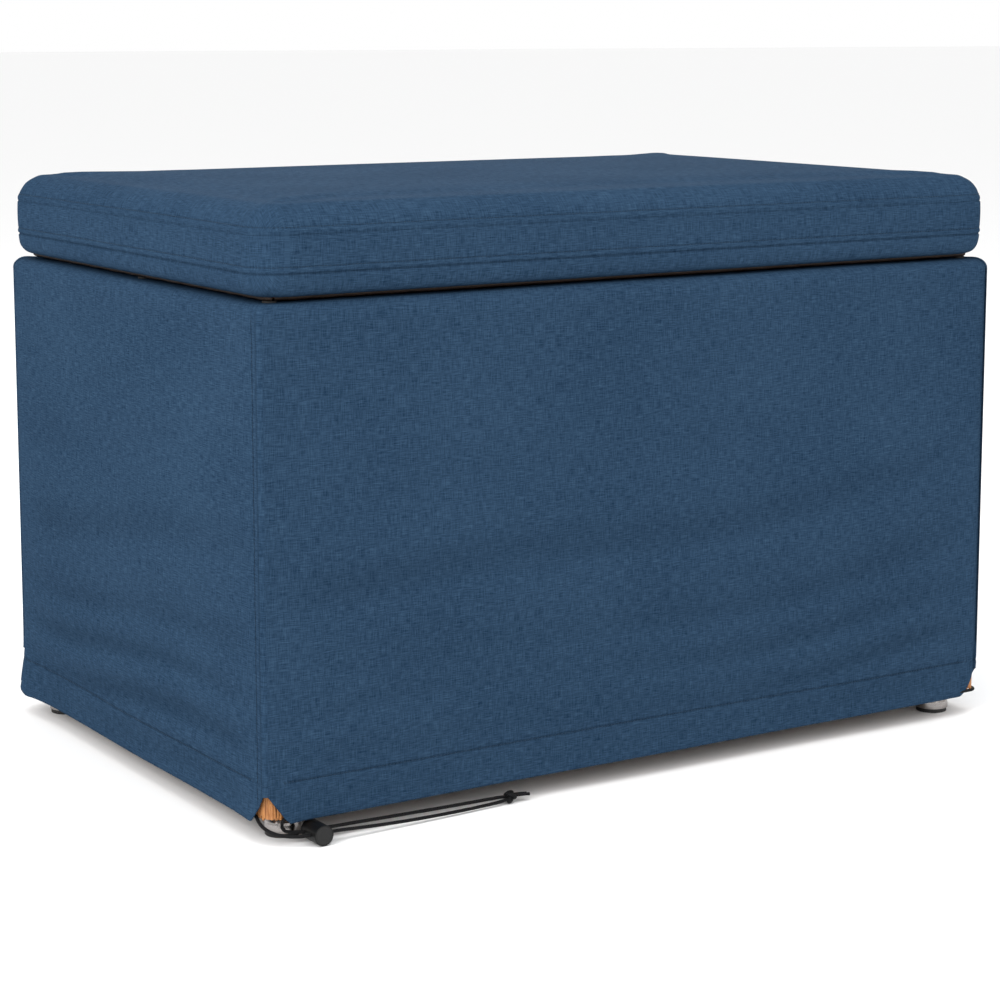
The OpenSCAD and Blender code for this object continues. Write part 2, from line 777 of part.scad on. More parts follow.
// Outline of the cushion's edge, from the corner centre outwards; y is the height above its bottom
module cushion_edge(skin) {
    r = cushion_corner_r - skin;
    top_r = cushion_top_r - skin;
    bottom_r = cushion_bottom_r - skin;
    top = cushion_t - skin;
    translate([0, skin]) square([r - bottom_r, bottom_r]);
    intersection() {
        translate([r - bottom_r, skin + bottom_r]) circle(bottom_r);
        square(far);
    }
    translate([0, skin + bottom_r]) square([r, top - skin - top_r - bottom_r]);
    intersection() {
        translate([r - top_r, top - top_r]) circle(top_r);
        translate([0, top - top_r]) square(far);
    }
    translate([0, top - top_r]) square([r - top_r, top_r]);
}

// Solid cushion block, drawn in by the given skin on every side
module cushion_block(skin) {
    x = bench_w / 2 - cushion_inset - cushion_corner_r;
    y = bench_d / 2 - cushion_inset - cushion_corner_r;
    translate([0, 0, cushion_z]) {
        span([-x, -y, skin], [x, y, cushion_t - skin]);
        for (c = [[x, y, 0], [-x, y, 90], [-x, -y, 180], [x, -y, 270]])
            translate([c.x, c.y, 0]) rotate(c.z) rotate_extrude(angle = 90) cushion_edge(skin);
        for (side = [[0, 2 * y, x, 0], [90, 2 * x, y, 0], [180, 2 * y, x, 0], [270, 2 * x, y, 0]])
            rotate(side.x) translate([side.z, side.y / 2, 0]) rotate([90, 0, 0]) linear_extrude(side.y)
                cushion_edge(skin);
    }
}

// Space taken out of the cushion's underside for the lid, with any skin around it
module lid_recess(skin) {
    inset_block(lid_inset - lid_fit - skin, cushion_z - 1, lid_top + skin);
}

module cushion_foam() {
    color([0.9, 0.87, 0.75]) difference() {
        cushion_block(pad_cloth_t);
        lid_recess(pad_cloth_t);
    }
}

// Cloth of the cushion between two heights
module cushion_cloth(low, high) {
    difference() {
        intersection() {
            cushion_block(0);
            inset_block(-1, low, high);
        }
        difference() {
            cushion_block(pad_cloth_t);
            lid_recess(pad_cloth_t);
        }
    }
}

module cushion_bottom() {
    color([0.2, 0.3, 0.4]) difference() {
        cushion_cloth(cushion_z - 1, cushion_z + lower_seam);
        lid_recess(0);
        strip_places() translate([-60, -12.5, lid_top - 1]) cube([120, 25, 1 + 2 * strip_t]);
    }
}

module cushion_side_band() {
    color([0.2, 0.3, 0.4]) difference() {
        cushion_cloth(cushion_z + lower_seam, cushion_top_z - upper_seam);
        span([-zip_l / 2, zip_back - zip_recess, zip_z - zip_h / 2], [zip_l / 2, far, zip_z + zip_h / 2]);
    }
}

module cushion_top() {
    color([0.23, 0.34, 0.44]) cushion_cloth(cushion_top_z - upper_seam, cushion_top_z + 1);
}

module zip_tape() {
    color([0.12, 0.18, 0.25]) span(
        [-zip_l / 2, zip_back - zip_recess, zip_z - zip_h / 2], [zip_l / 2, zip_back - zip_recess + 0.6, zip_z + zip_h / 2]
    );
}

module zip_coil() {
    y = zip_back - zip_recess + 0.6;
    color([0.1, 0.14, 0.2]) span(
        [-zip_l / 2 + 5, y, zip_z - coil_w / 2], [zip_l / 2 - 5, y + 0.7, zip_z + coil_w / 2]
    );
}

module zip_slider() {
    y = zip_back - zip_recess + 0.7;
    color([0.1, 0.14, 0.2]) difference() {
        span([slider_x - 6, y, zip_z - 5], [slider_x + 6, y + 1.9, zip_z + 5]);
        span([slider_x - 7, y - 1, zip_z - coil_w / 2 - 0.3], [slider_x + 7, y + 0.9, zip_z + coil_w / 2 + 0.3]);
    }
}

bottom_frame();
cross_rails();
corner_posts();
wall_uprights();
top_frame();
corner_gussets();
floor_board();
front_weave();
back_weave();
left_weave();
right_weave();
corner_wraps();
rim_weave();
lining();
front_cover();
back_cover();
left_cover();
right_cover();
drawcord();
left_cord_end();
front_cord_end();
cord_knot();
cord_lock_barrel();
cord_lock_plunger();
cord_lock_spring();
foot_pads();
foot_cups();
foot_stems();
foot_nuts();
lid_bumpers();
hinge_base_leaves();
hinge_pins();
hinge_base_screws();
hinge_lid_leaves();
hinge_lid_screws();
strut_base_brackets();
strut_bracket_screws();
strut_lid_brackets();
left_strut_tube();
left_strut_rod();
right_strut_tube();
right_strut_rod();
lid_frame();
lid_rails();
lid_weave();
hook_strips();
loop_strips();
cushion_foam();
cushion_bottom();
cushion_side_band();
cushion_top();
zip_tape();
zip_coil();
zip_slider();
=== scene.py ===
# %% [markdown]
# # A storage bench in a drawstring slipcover
# The bench is a woven box on a steel tube frame. A blue cloth slipcover hides the box down to a few
# centimetres above the floor, and a padded cushion on the hinged lid makes the seat. The joints and the
# hard parts come from the CAD frame. This lesson dresses them: it sews the cover, pads the cushion,
# weaves the cane, lays the cord, and gives each piece a material worked out from nodes.

import json

import bpy
import numpy as np
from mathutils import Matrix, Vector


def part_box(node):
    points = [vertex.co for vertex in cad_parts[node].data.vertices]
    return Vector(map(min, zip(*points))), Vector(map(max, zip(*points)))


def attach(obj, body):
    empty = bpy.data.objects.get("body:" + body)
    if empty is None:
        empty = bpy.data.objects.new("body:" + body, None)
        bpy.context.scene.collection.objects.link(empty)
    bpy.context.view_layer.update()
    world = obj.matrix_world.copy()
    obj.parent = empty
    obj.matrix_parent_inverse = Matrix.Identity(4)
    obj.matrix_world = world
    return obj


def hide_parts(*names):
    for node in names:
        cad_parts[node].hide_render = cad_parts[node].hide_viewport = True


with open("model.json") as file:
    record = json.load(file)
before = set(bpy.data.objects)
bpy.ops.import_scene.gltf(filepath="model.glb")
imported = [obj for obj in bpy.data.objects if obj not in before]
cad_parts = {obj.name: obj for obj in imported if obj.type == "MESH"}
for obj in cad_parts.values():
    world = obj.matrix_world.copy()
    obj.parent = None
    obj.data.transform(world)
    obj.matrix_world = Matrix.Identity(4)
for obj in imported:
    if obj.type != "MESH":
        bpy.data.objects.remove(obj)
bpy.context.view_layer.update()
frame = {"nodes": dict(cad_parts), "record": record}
nodes = frame["nodes"]

# %% [markdown]
# Every size below is read from the frame, so the dressing fits the parts whatever their size is. The
# slipcover is a box open at the bottom: its half width, half depth, hem and top are all that it needs.

# %% Sizes from the frame
MM = 0.001
half_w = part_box("front_cover")[1].x
half_d = -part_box("front_cover")[0].y
hem_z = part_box("front_cover")[0].z
box_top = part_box("front_cover")[1].z
inner_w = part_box("left_cover")[1].x
turn_in = half_w + inner_w
cushion_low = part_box("cushion_bottom")[0].z
seat_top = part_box("cushion_top")[1].z
side_low, side_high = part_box("cushion_side_band")[0].z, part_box("cushion_side_band")[1].z
front_left = np.array([-half_w, -half_d, 0.0])
print("cover", half_w, half_d, hem_z, box_top, "cushion", cushion_low, side_low, side_high, seat_top)

# %% [markdown]
# ## Camera, floor and light
# The camera stands to the front left, a little above the seat, with a long lens, so upright edges stay
# nearly parallel. A small vertical shift does what a view camera does: it keeps the bench in the middle
# of the frame without tilting further. The floor is plain and pale, and large soft lamps light the
# bench from above and from both sides, so the top is the brightest face and no shadow has an edge.

# %% Camera
def place_camera(place, heading, down, lens, shift):
    """Camera at place that looks heading degrees right of +Y and down degrees below the horizon."""
    data = bpy.data.cameras.new("camera")
    data.sensor_width = 36
    data.lens = lens
    data.shift_y = shift
    camera = bpy.data.objects.new("camera", data)
    camera.location = place
    camera.rotation_euler = (np.radians(90 - down), 0, -np.radians(heading))
    bpy.context.scene.collection.objects.link(camera)
    bpy.context.scene.camera = camera
    return camera


camera = place_camera((-1.332, -2.085, 0.678), heading=32.59, down=8.38, lens=91.55, shift=-0.1)
print("camera at", tuple(round(x, 3) for x in camera.location))

# %% [markdown]
# Most pieces below are grids: rows and columns of points from one array expression, joined by quads. Two
# functions make an object from such arrays, with its UVs in metres, so that a weave has its true scale.

# %% Mesh helpers
def mesh_piece(name, verts, faces, uvs=None, smooth=True):
    """Object from points and faces, either as arrays or as lists. uvs holds a (u, v) for each point."""
    mesh = bpy.data.meshes.new(name)
    faces = faces.tolist() if isinstance(faces, np.ndarray) else faces
    mesh.from_pydata(np.asarray(verts, float).tolist(), [], faces)
    if uvs is not None:
        layer = mesh.uv_layers.new(name="cloth")
        loop_vert = np.zeros(len(mesh.loops), int)
        mesh.loops.foreach_get("vertex_index", loop_vert)
        layer.data.foreach_set("uv", np.asarray(uvs, float)[loop_vert].ravel())
    if smooth:
        mesh.polygons.foreach_set("use_smooth", np.ones(len(mesh.polygons), bool))
    mesh.update()
    made = bpy.data.objects.new(name, mesh)
    bpy.context.scene.collection.objects.link(made)
    return made


def piece_from_parts(name, parts):
    """One object from several (points, faces, uvs) parts, each face list moved past the earlier points."""
    start = np.cumsum([0] + [len(part[0]) for part in parts])
    faces = [[i + s for i in face] for part, s in zip(parts, start) for face in part[1]]
    points, uvs = (np.vstack([part[i] for part in parts]) for i in (0, 2))
    return mesh_piece(name, points, faces, uvs)


def grid_faces(rows, columns, wrap=False):
    """Quads between neighbouring points of a rows by columns grid; wrap joins the last column to the first."""
    r = np.arange(rows - 1)[:, None]
    c = np.arange(columns if wrap else columns - 1)[None, :]
    n = (c + 1) % columns
    quads = np.stack([r * columns + c, r * columns + n, (r + 1) * columns + n, (r + 1) * columns + c], -1)
    return quads.reshape(-1, 4)


def unit(vectors):
    """Vectors divided by their own length."""
    return vectors / np.maximum(np.linalg.norm(vectors, axis=-1, keepdims=True), 1e-12)

# %% [markdown]
# Each lamp is a large square panel turned towards the bench, like a softbox. The left one is stronger
# than the front one, which makes the left side lighter than the front and shows the edge between them.

# %% Floor and lamps
def soft_lamp(name, place, aim, size, power):
    """Square area lamp at place, turned towards the point aim."""
    data = bpy.data.lights.new(name, "AREA")
    data.size = size
    data.energy = power
    lamp = bpy.data.objects.new(name, data)
    lamp.location = place
    away = np.array(place, float) - np.array(aim, float)
    flat = np.hypot(away[0], away[1])
    lamp.rotation_euler = (np.arctan2(flat, away[2]), 0, np.arctan2(away[0], -away[1]))
    bpy.context.scene.collection.objects.link(lamp)
    return lamp


far = 60
floor_corners = [(-far, -far, 0), (far, -far, 0), (far, far, 0), (-far, far, 0)]
floor = mesh_piece("floor", floor_corners, [(0, 1, 2, 3)], smooth=False)
pale = bpy.data.materials.new("pale_floor")
pale.use_nodes = True
pale_shader = pale.node_tree.nodes["Principled BSDF"]
pale_shader.inputs["Base Color"].default_value = (0.94, 0.94, 0.94, 1)
pale_shader.inputs["Roughness"].default_value = 0.9
pale_shader.inputs["Specular IOR Level"].default_value = 0.1
floor.data.materials.append(pale)
middle = (0, 0, 0.3)
soft_lamp("lamp_above", (-0.4, -0.6, 3.2), middle, 3.2, 48)
soft_lamp("lamp_left", (-3.2, -0.9, 2.2), middle, 2.0, 80)
soft_lamp("lamp_front", (0.9, -3.6, 2.2), middle, 2.2, 38)
soft_lamp("lamp_back", (1.8, 3.4, 2.0), middle, 2.4, 26)

world = bpy.data.worlds.new("studio")
world.use_nodes = True
world.node_tree.nodes["Background"].inputs["Color"].default_value = (1.0, 1.0, 1.0, 1)
world.node_tree.nodes["Background"].inputs["Strength"].default_value = 1.0
bpy.context.scene.world = world
bpy.context.scene.view_settings.view_transform = "Standard"
print("stage: floor, four lamps and a white world")

# %% [markdown]
# ## The free ends of the drawcord
# A drawcord is a limp braided cord, 3 mm thick. Its two ends leave the hem at the front left corner, go
# through the cross holes of a barrel lock, and run side by side just off the floor up to the knot that
# ties them together. The lock and the knot rest on the floor, and the braid hardly sags between them.
# The points are the same as in the CAD route, measured from the cover's corner. A smooth curve through
# them, with rings of sixteen points across it, makes the braid's round body.

# %% Cord routes
cord_d = 0.003
left_route = np.array([
    (2.4, 27, 23.5), (3.2, 22, 22.5), (2.8, 17, 19.5), (4, 11.5, 16), (8, 5.5, 12.5), (15, -1.5, 10.2),
    (25, -7.5, 9.3), (33, -10, 9.3), (40, -10.3, 9.3), (46, -10.3, 9.3), (53, -10.3, 9.3), (58, -10.2, 9.2),
    (70, -9.9, 8.5), (90, -9.3, 7.1), (115, -8.4, 5.6), (140, -7.4, 4.5), (165, -6.3, 3.8), (190, -5.1, 3.4),
    (212, -3.9, 3.4), (228, -3.0, 3.7), (237, -2.4, 4.6),
]) * MM + front_left
front_route = np.array([
    (27, 2.4, 23.5), (23.6, 3.1, 23.2), (19.6, 3.7, 21.5), (17.8, 3.7, 17.2), (19.6, 3.4, 12.9),
    (24, 2.9, 10.9), (30, 2.1, 9.8), (37, 1.3, 9.3), (46, 1.3, 9.3), (53, 1.3, 9.3), (58, 1.3, 9.3),
    (70, 1.4, 9.1), (90, 1.5, 8.7), (115, 1.6, 8.1), (140, 1.6, 7.6), (165, 1.5, 7.2), (190, 1.3, 6.9),
    (212, 1.1, 6.8), (228, 0.9, 6.7), (237, 0.6, 6.3),
]) * MM + front_left

# %% [markdown]
# A cord is a circle carried along a curve. The curve goes through every point of the route, and at each
# point of the curve two directions square to it span the circle.

# %% Tube along a curve
def smooth_curve(points, steps):
    """Catmull-Rom curve: each span is the cubic whose slope at a point is half of next minus previous."""
    p = np.vstack([points[:1], points, points[-1:]])
    a, b, c, d = (p[i:len(p) - 3 + i, None, :] for i in range(4))
    t = np.linspace(0, 1, steps, endpoint=False)[None, :, None]
    spans = 0.5 * (2 * b + (c - a) * t + (2 * a - 5 * b + 4 * c - d) * t**2 + (3 * b - a - 3 * c + d) * t**3)
    return np.vstack([spans.reshape(-1, 3), points[-1:]])


def tube(path, radius, sides=16, closed=False):
    """Rings of sides points round a path: path + radius (u cos a + v sin a), with u and v square to it.

    Returns points, faces and UVs: u is the angle as a length, v is the length along the path."""
    along = unit(np.roll(path, -1, 0) - np.roll(path, 1, 0)) if closed else unit(np.gradient(path, axis=0))
    u = unit(np.cross(along, [0.003, 0.02, 1.0]))
    v = np.cross(u, along)
    angle = np.linspace(0, 2 * np.pi, sides, endpoint=False)
    spokes = u[:, None] * np.cos(angle)[:, None] + v[:, None] * np.sin(angle)[:, None]
    rings = path[:, None] + radius * spokes
    length = np.concatenate([[0], np.cumsum(np.linalg.norm(np.diff(path, axis=0), axis=1))])
    uvs = np.stack(np.broadcast_arrays(angle[None, :] / (2 * np.pi), length[:, None]), -1).reshape(-1, 2)
    faces = grid_faces(len(path), sides, wrap=True)[:, ::-1]
    points = rings.reshape(-1, 3)
    if not closed:
        points = np.vstack([points, path[:1], path[-1:]])
        uvs = np.vstack([uvs, uvs[:1], uvs[-1:]])
        last, count = (len(path) - 1) * sides, len(points)
        ring = [(k, (k + 1) % sides) for k in range(sides)]
        caps = [(k, n, count - 2) for k, n in ring] + [(last + n, last + k, count - 1) for k, n in ring]
        return points, faces.tolist() + caps, uvs
    return points, faces.tolist(), uvs

# %% [markdown]
# The length of a cord is the length of its curve, and it is printed with the piece, because a cord can
# be laid another way but never gets longer.

# %% Lay the two cord ends
def lay_cord(name, route, node):
    """Braided cord along a smooth curve through the route, returned with its real length."""
    path = smooth_curve(route, 6)
    made = piece_from_parts(name, [tube(path, cord_d / 2)])
    length = float(np.linalg.norm(np.diff(path, axis=0), axis=1).sum())
    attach(made, "box")
    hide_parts(node)
    print(name, "length", round(length, 4), "m")
    return made, path, length


left_cord, left_path, left_length = lay_cord("left_cord", left_route, "left_cord_end")
front_cord, front_path, front_length = lay_cord("front_cord", front_route, "front_cord_end")

# %% [markdown]
# ## Materials
# A finish that several pieces share is a node group: one for cloth, one for cane, and one for metal,
# plastic and rubber. A group gives out only what changes over the surface. What is constant, such as
# how metallic chrome is, is set on the shader itself. The helper below makes a node, sets it up and
# wires it in one line.

# %% Node helpers
def node_in(tree, kind, wires=(), **settings):
    """New node of that kind with its settings; wires holds (input, source socket or plain value)."""
    made = tree.nodes.new(kind)
    for key, value in settings.items():
        setattr(made, key, value)
    for socket, source in wires:
        if isinstance(source, bpy.types.NodeSocket):
            tree.links.new(source, made.inputs[socket])
        else:
            made.inputs[socket].default_value = source
    return made


def calc(tree, operation, a, b):
    """Result of a math node for two inputs, each a socket or a number."""
    return node_in(tree, "ShaderNodeMath", [(0, a), (1, b)], operation=operation).outputs[0]


def blend_colors(tree, share, a, b):
    """Colour between a and b, where share 0 gives a and 1 gives b."""
    mixed = node_in(tree, "ShaderNodeMix", [(0, share), (6, a), (7, b)], data_type="RGBA")
    return mixed.outputs[2]


def noise(tree, vector, stretch, detail=2.0, roughness=0.5):
    """Value noise whose cells are 1 / stretch metres along each axis."""
    scaled = node_in(tree, "ShaderNodeVectorMath", [(0, vector), (1, stretch)], operation="MULTIPLY")
    wires = [("Vector", scaled.outputs[0]), ("Scale", 1.0), ("Detail", detail)]
    made = node_in(tree, "ShaderNodeTexNoise", wires)
    made.inputs["Roughness"].default_value = roughness
    return made.outputs["Fac"]


def widen(tree, value, low, high):
    """Value moved from the range low..high to 0..1, and cut off there."""
    made = node_in(tree, "ShaderNodeMapRange", [("Value", value), ("From Min", low), ("From Max", high)])
    return made.outputs["Result"]


def new_group(name, inputs, outputs):
    """Shader group with sockets of the given kinds; returns its tree, input node and output node."""
    tree = bpy.data.node_groups.new(name, "ShaderNodeTree")
    for socket, kind, value in inputs:
        made = tree.interface.new_socket(socket, in_out="INPUT", socket_type="NodeSocket" + kind)
        if value is not None:
            made.default_value = value
    for socket, kind in outputs:
        tree.interface.new_socket(socket, in_out="OUTPUT", socket_type="NodeSocket" + kind)
    return tree, tree.nodes.new("NodeGroupInput"), tree.nodes.new("NodeGroupOutput")

# %% [markdown]
# The cloth is a slubbed weave: each thread is thick and thin by turns, and some take the dye lighter.
# Two noises, one stretched along the weft and one along the warp, give threads a few millimetres to a
# few centimetres long and under a millimetre wide. Their mix picks the colour between a dark and a
# light blue, and also the height, so a light slub stands proud as it does on the real cloth.

# %% Cloth weave group
def cloth_group():
    """Colour, height and roughness of a slubbed plain weave on UVs in metres."""
    tree, given, result = new_group(
        "slub_weave",
        [("Vector", "Vector", None), ("Dark", "Color", None), ("Light", "Color", None),
         ("Slub", "Float", 1.0)],
        [("Color", "Color"), ("Height", "Float"), ("Roughness", "Float")],
    )
    uv = given.outputs["Vector"]
    weft = noise(tree, uv, (95, 1150, 1), detail=2.5, roughness=0.6)
    warp = noise(tree, uv, (1150, 80, 1), detail=2.5, roughness=0.6)
    slub = widen(tree, noise(tree, uv, (34, 700, 1), detail=1.0), 0.6, 0.78)
    fine = noise(tree, uv, (2100, 2100, 1), detail=1.0)
    cloud = noise(tree, uv, (7, 9, 1), detail=2.0)
    threads = calc(tree, "MULTIPLY", weft, 0.55)
    slubs = calc(tree, "MULTIPLY", slub, given.outputs["Slub"])
    fine_about_zero, cloud_about_zero = calc(tree, "SUBTRACT", fine, 0.5), calc(tree, "SUBTRACT", cloud, 0.5)
    for layer, share in ((warp, 0.45), (fine_about_zero, 0.22), (slubs, 0.09), (cloud_about_zero, 0.10)):
        threads = calc(tree, "ADD", threads, calc(tree, "MULTIPLY", layer, share))
    share = widen(tree, threads, 0.33, 0.68)
    color = blend_colors(tree, share, given.outputs["Dark"], given.outputs["Light"])
    tree.links.new(color, result.inputs["Color"])
    tree.links.new(threads, result.inputs["Height"])
    rough = node_in(tree, "ShaderNodeMapRange", [("Value", share), ("To Min", 0.93), ("To Max", 0.8)])
    tree.links.new(rough.outputs["Result"], result.inputs["Roughness"])
    return tree


slub_weave = cloth_group()

# %% [markdown]
# The cover and the cushion are cut from the same blue cloth, the lining is undyed, and the tape of the
# zip is woven finer. All four use the weave group. Seams and fold valleys get painted shade: a point
# attribute mixes a darker blue in there.

# %% Cloth materials
def material(name):
    """Empty node material with its Principled shader."""
    made = bpy.data.materials.new(name)
    made.use_nodes = True
    return made, made.node_tree, made.node_tree.nodes["Principled BSDF"]


def bumped(tree, shader, height, strength, distance):
    """Bump from a height socket into the shader's normal; distance is in metres."""
    wires = [("Height", height), ("Strength", strength), ("Distance", distance)]
    bump = node_in(tree, "ShaderNodeBump", wires)
    tree.links.new(bump.outputs["Normal"], shader.inputs["Normal"])


def cloth_material(name, dark, light, slub=1.0, bump=0.5):
    """Slubbed cloth between two colours. A point attribute paints shade into a seam or a fold valley."""
    made, tree, shader = material(name)
    uv = node_in(tree, "ShaderNodeUVMap", uv_map="cloth").outputs["UV"]
    weave = node_in(tree, "ShaderNodeGroup", node_tree=slub_weave)
    tree.links.new(uv, weave.inputs["Vector"])
    weave.inputs["Dark"].default_value = (*dark, 1)
    weave.inputs["Light"].default_value = (*light, 1)
    weave.inputs["Slub"].default_value = slub
    # Painted shade: the point attribute mixes a darker blue into seams and fold valleys.
    seam_fold_shade = node_in(tree, "ShaderNodeAttribute", attribute_name="seam_fold_shade").outputs["Fac"]
    shadow = (*(0.4 * np.array(dark)), 1)
    shaded = blend_colors(tree, calc(tree, "MULTIPLY", seam_fold_shade, 0.45), weave.outputs["Color"], shadow)
    tree.links.new(shaded, shader.inputs["Base Color"])
    tree.links.new(weave.outputs["Roughness"], shader.inputs["Roughness"])
    bumped(tree, shader, weave.outputs["Height"], bump, 0.0006)
    shader.inputs["Specular IOR Level"].default_value = 0.012
    return made


blues = (0.0062, 0.0182, 0.0402), (0.0335, 0.0685, 0.1185)
cover_cloth = cloth_material("cover_cloth", *blues)
cushion_cloth = cloth_material("cushion_cloth", *blues, slub=0.8)
lining_cloth = cloth_material("lining_cloth", (0.26, 0.24, 0.20), (0.46, 0.43, 0.37), slub=0.4, bump=0.3)
zip_cloth = cloth_material("zip_cloth", (0.010, 0.022, 0.042), (0.026, 0.048, 0.082), slub=0.2, bump=0.4)

# %% [markdown]
# The drawcord's braid has two families of strands that cross as they wind round it. A sine of angle
# plus length and one of angle minus length are the two families, and the higher one lies on top. The
# colour goes from dark in the low places to light on top: painted shade in the grooves of the braid.

# %% Cord and thread materials
def braid_material(name, dark, light, pitch):
    """Braid on UVs: height is the greater of sin(8a + ks) and sin(8a - ks), with k = 2 pi / pitch."""
    made, tree, shader = material(name)
    uv = node_in(tree, "ShaderNodeUVMap", uv_map="cloth").outputs["UV"]
    part = node_in(tree, "ShaderNodeSeparateXYZ", [(0, uv)])
    turn = calc(tree, "MULTIPLY", part.outputs["X"], 2 * np.pi * 8)
    run = calc(tree, "MULTIPLY", part.outputs["Y"], 2 * np.pi / pitch)
    ways = [calc(tree, "SINE", calc(tree, way, turn, run), 0) for way in ("ADD", "SUBTRACT")]
    height = calc(tree, "MAXIMUM", *ways)
    # Painted shade: the lower the braid's surface, the darker its colour.
    color = blend_colors(tree, widen(tree, height, -0.6, 1.0), (*dark, 1), (*light, 1))
    tree.links.new(color, shader.inputs["Base Color"])
    rough = node_in(tree, "ShaderNodeMapRange", [("Value", height), ("To Min", 0.75), ("To Max", 0.6)])
    tree.links.new(rough.outputs["Result"], shader.inputs["Roughness"])
    bumped(tree, shader, height, 0.6, 0.0003)
    shader.inputs["Specular IOR Level"].default_value = 0.12
    return made


cord_black = braid_material("cord_black", (0.002, 0.002, 0.0025), (0.010, 0.010, 0.011), 0.004)
thread_blue = braid_material("thread_blue", (0.007, 0.018, 0.036), (0.020, 0.044, 0.078), 0.0012)
for made in (left_cord, front_cord):
    made.data.materials.append(cord_black)

# %% [markdown]
# Cane made of plastic is extruded with fine ridges along it, and it is coloured unevenly, from honey to
# brown. The group takes UVs whose first value runs along the strand and second across it. A noise
# stretched far along the strand makes the ridges and streaks. Hard parts get a second group, where one
# noise in object space changes colour and roughness a little, as handling and plating do.

# %% Cane and hard-surface groups
def cane_group():
    """Colour, height and roughness of streaked plastic cane on UVs: along, then across, in metres."""
    tree, given, result = new_group(
        "cane_strand",
        [("Vector", "Vector", None), ("Dark", "Color", None), ("Light", "Color", None)],
        [("Color", "Color"), ("Height", "Float"), ("Roughness", "Float")],
    )
    uv = given.outputs["Vector"]
    ridges = noise(tree, uv, (25, 2600, 1), detail=2.0)
    streaks = noise(tree, uv, (40, 500, 1), detail=3.0, roughness=0.6)
    patches = noise(tree, uv, (60, 90, 1), detail=2.0)
    tone = calc(tree, "ADD", calc(tree, "MULTIPLY", streaks, 0.6), calc(tree, "MULTIPLY", patches, 0.4))
    share = widen(tree, tone, 0.36, 0.64)
    color = blend_colors(tree, share, given.outputs["Dark"], given.outputs["Light"])
    tree.links.new(color, result.inputs["Color"])
    tree.links.new(ridges, result.inputs["Height"])
    rough = node_in(tree, "ShaderNodeMapRange", [("Value", streaks), ("To Min", 0.62), ("To Max", 0.42)])
    tree.links.new(rough.outputs["Result"], result.inputs["Roughness"])
    return tree


def hard_group():
    """Colour, height and roughness of a handled hard surface, in object space."""
    tree, given, result = new_group(
        "handled_surface",
        [("Vector", "Vector", None), ("Color", "Color", None), ("Worn", "Color", None), ("Low", "Float", 0.3),
         ("High", "Float", 0.5), ("Grain", "Float", 900.0)],
        [("Color", "Color"), ("Height", "Float"), ("Roughness", "Float")],
    )
    where = given.outputs["Vector"]
    broad = noise(tree, where, (26, 26, 26), detail=3.0)
    scaled = node_in(tree, "ShaderNodeVectorMath", [(0, where)], operation="SCALE")
    tree.links.new(given.outputs["Grain"], scaled.inputs["Scale"])
    wires = [("Vector", scaled.outputs[0]), ("Scale", 1.0), ("Detail", 2.0)]
    grain = node_in(tree, "ShaderNodeTexNoise", wires)
    fine = calc(tree, "MULTIPLY", grain.outputs["Fac"], 0.3)
    share = widen(tree, calc(tree, "ADD", calc(tree, "MULTIPLY", broad, 0.7), fine), 0.35, 0.68)
    color = blend_colors(tree, share, given.outputs["Color"], given.outputs["Worn"])
    tree.links.new(color, result.inputs["Color"])
    tree.links.new(grain.outputs["Fac"], result.inputs["Height"])
    rough = node_in(tree, "ShaderNodeMapRange", [("Value", share), ("To Min", given.outputs["Low"])])
    tree.links.new(given.outputs["High"], rough.inputs["To Max"])
    tree.links.new(rough.outputs["Result"], result.inputs["Roughness"])
    return tree


cane_strand, handled_surface = cane_group(), hard_group()

# %% [markdown]
# From here on a finish is a row of numbers: two colours, two roughnesses and how metallic or coated it
# is. Chrome is smooth and bright, zinc is duller, rubber is dark and rough, and paint has a thin coat.

# %% Cane, metal, plastic, rubber and board
def cane_material(name, dark, light, block=False):
    """Streaked cane between two colours. A block has no UVs: its strands stand upright in object space."""
    made, tree, shader = material(name)
    uv = node_in(tree, "ShaderNodeUVMap", uv_map="cloth").outputs["UV"]
    if block:
        where = node_in(tree, "ShaderNodeTexCoord").outputs["Object"]
        place = node_in(tree, "ShaderNodeSeparateXYZ", [(0, where)])
        sideways = calc(tree, "ADD", place.outputs["X"], place.outputs["Y"])
        uv = node_in(tree, "ShaderNodeCombineXYZ", [("X", place.outputs["Z"]), ("Y", sideways)]).outputs[0]
    strand = node_in(tree, "ShaderNodeGroup", node_tree=cane_strand)
    tree.links.new(uv, strand.inputs["Vector"])
    strand.inputs["Dark"].default_value = (*dark, 1)
    strand.inputs["Light"].default_value = (*light, 1)
    tree.links.new(strand.outputs["Color"], shader.inputs["Base Color"])
    tree.links.new(strand.outputs["Roughness"], shader.inputs["Roughness"])
    bumped(tree, shader, strand.outputs["Height"], 0.7, 0.0004)
    return made


def hard_material(
    name, color, worn, rough, metal=0.0, grain=900.0, bump=0.15, coat=0.0, stretch=(1, 1, 1), shine=0.5
):
    """Handled metal, plastic or rubber; rough holds its least and greatest roughness.

    color and worn are (red, green, blue), or one number for a grey."""
    made, tree, shader = material(name)
    where = node_in(tree, "ShaderNodeTexCoord").outputs["Object"]
    turned = node_in(tree, "ShaderNodeMapping", [("Vector", where), ("Scale", stretch)]).outputs["Vector"]
    surface = node_in(tree, "ShaderNodeGroup", node_tree=handled_surface)
    tree.links.new(turned, surface.inputs["Vector"])
    surface.inputs["Color"].default_value = (*np.broadcast_to(color, 3), 1)
    surface.inputs["Worn"].default_value = (*np.broadcast_to(worn, 3), 1)
    surface.inputs["Low"].default_value, surface.inputs["High"].default_value = rough
    surface.inputs["Grain"].default_value = grain
    tree.links.new(surface.outputs["Color"], shader.inputs["Base Color"])
    tree.links.new(surface.outputs["Roughness"], shader.inputs["Roughness"])
    bumped(tree, shader, surface.outputs["Height"], bump, 0.0002)
    shader.inputs["Metallic"].default_value = metal
    shader.inputs["Coat Weight"].default_value = coat
    shader.inputs["Specular IOR Level"].default_value = shine
    return made


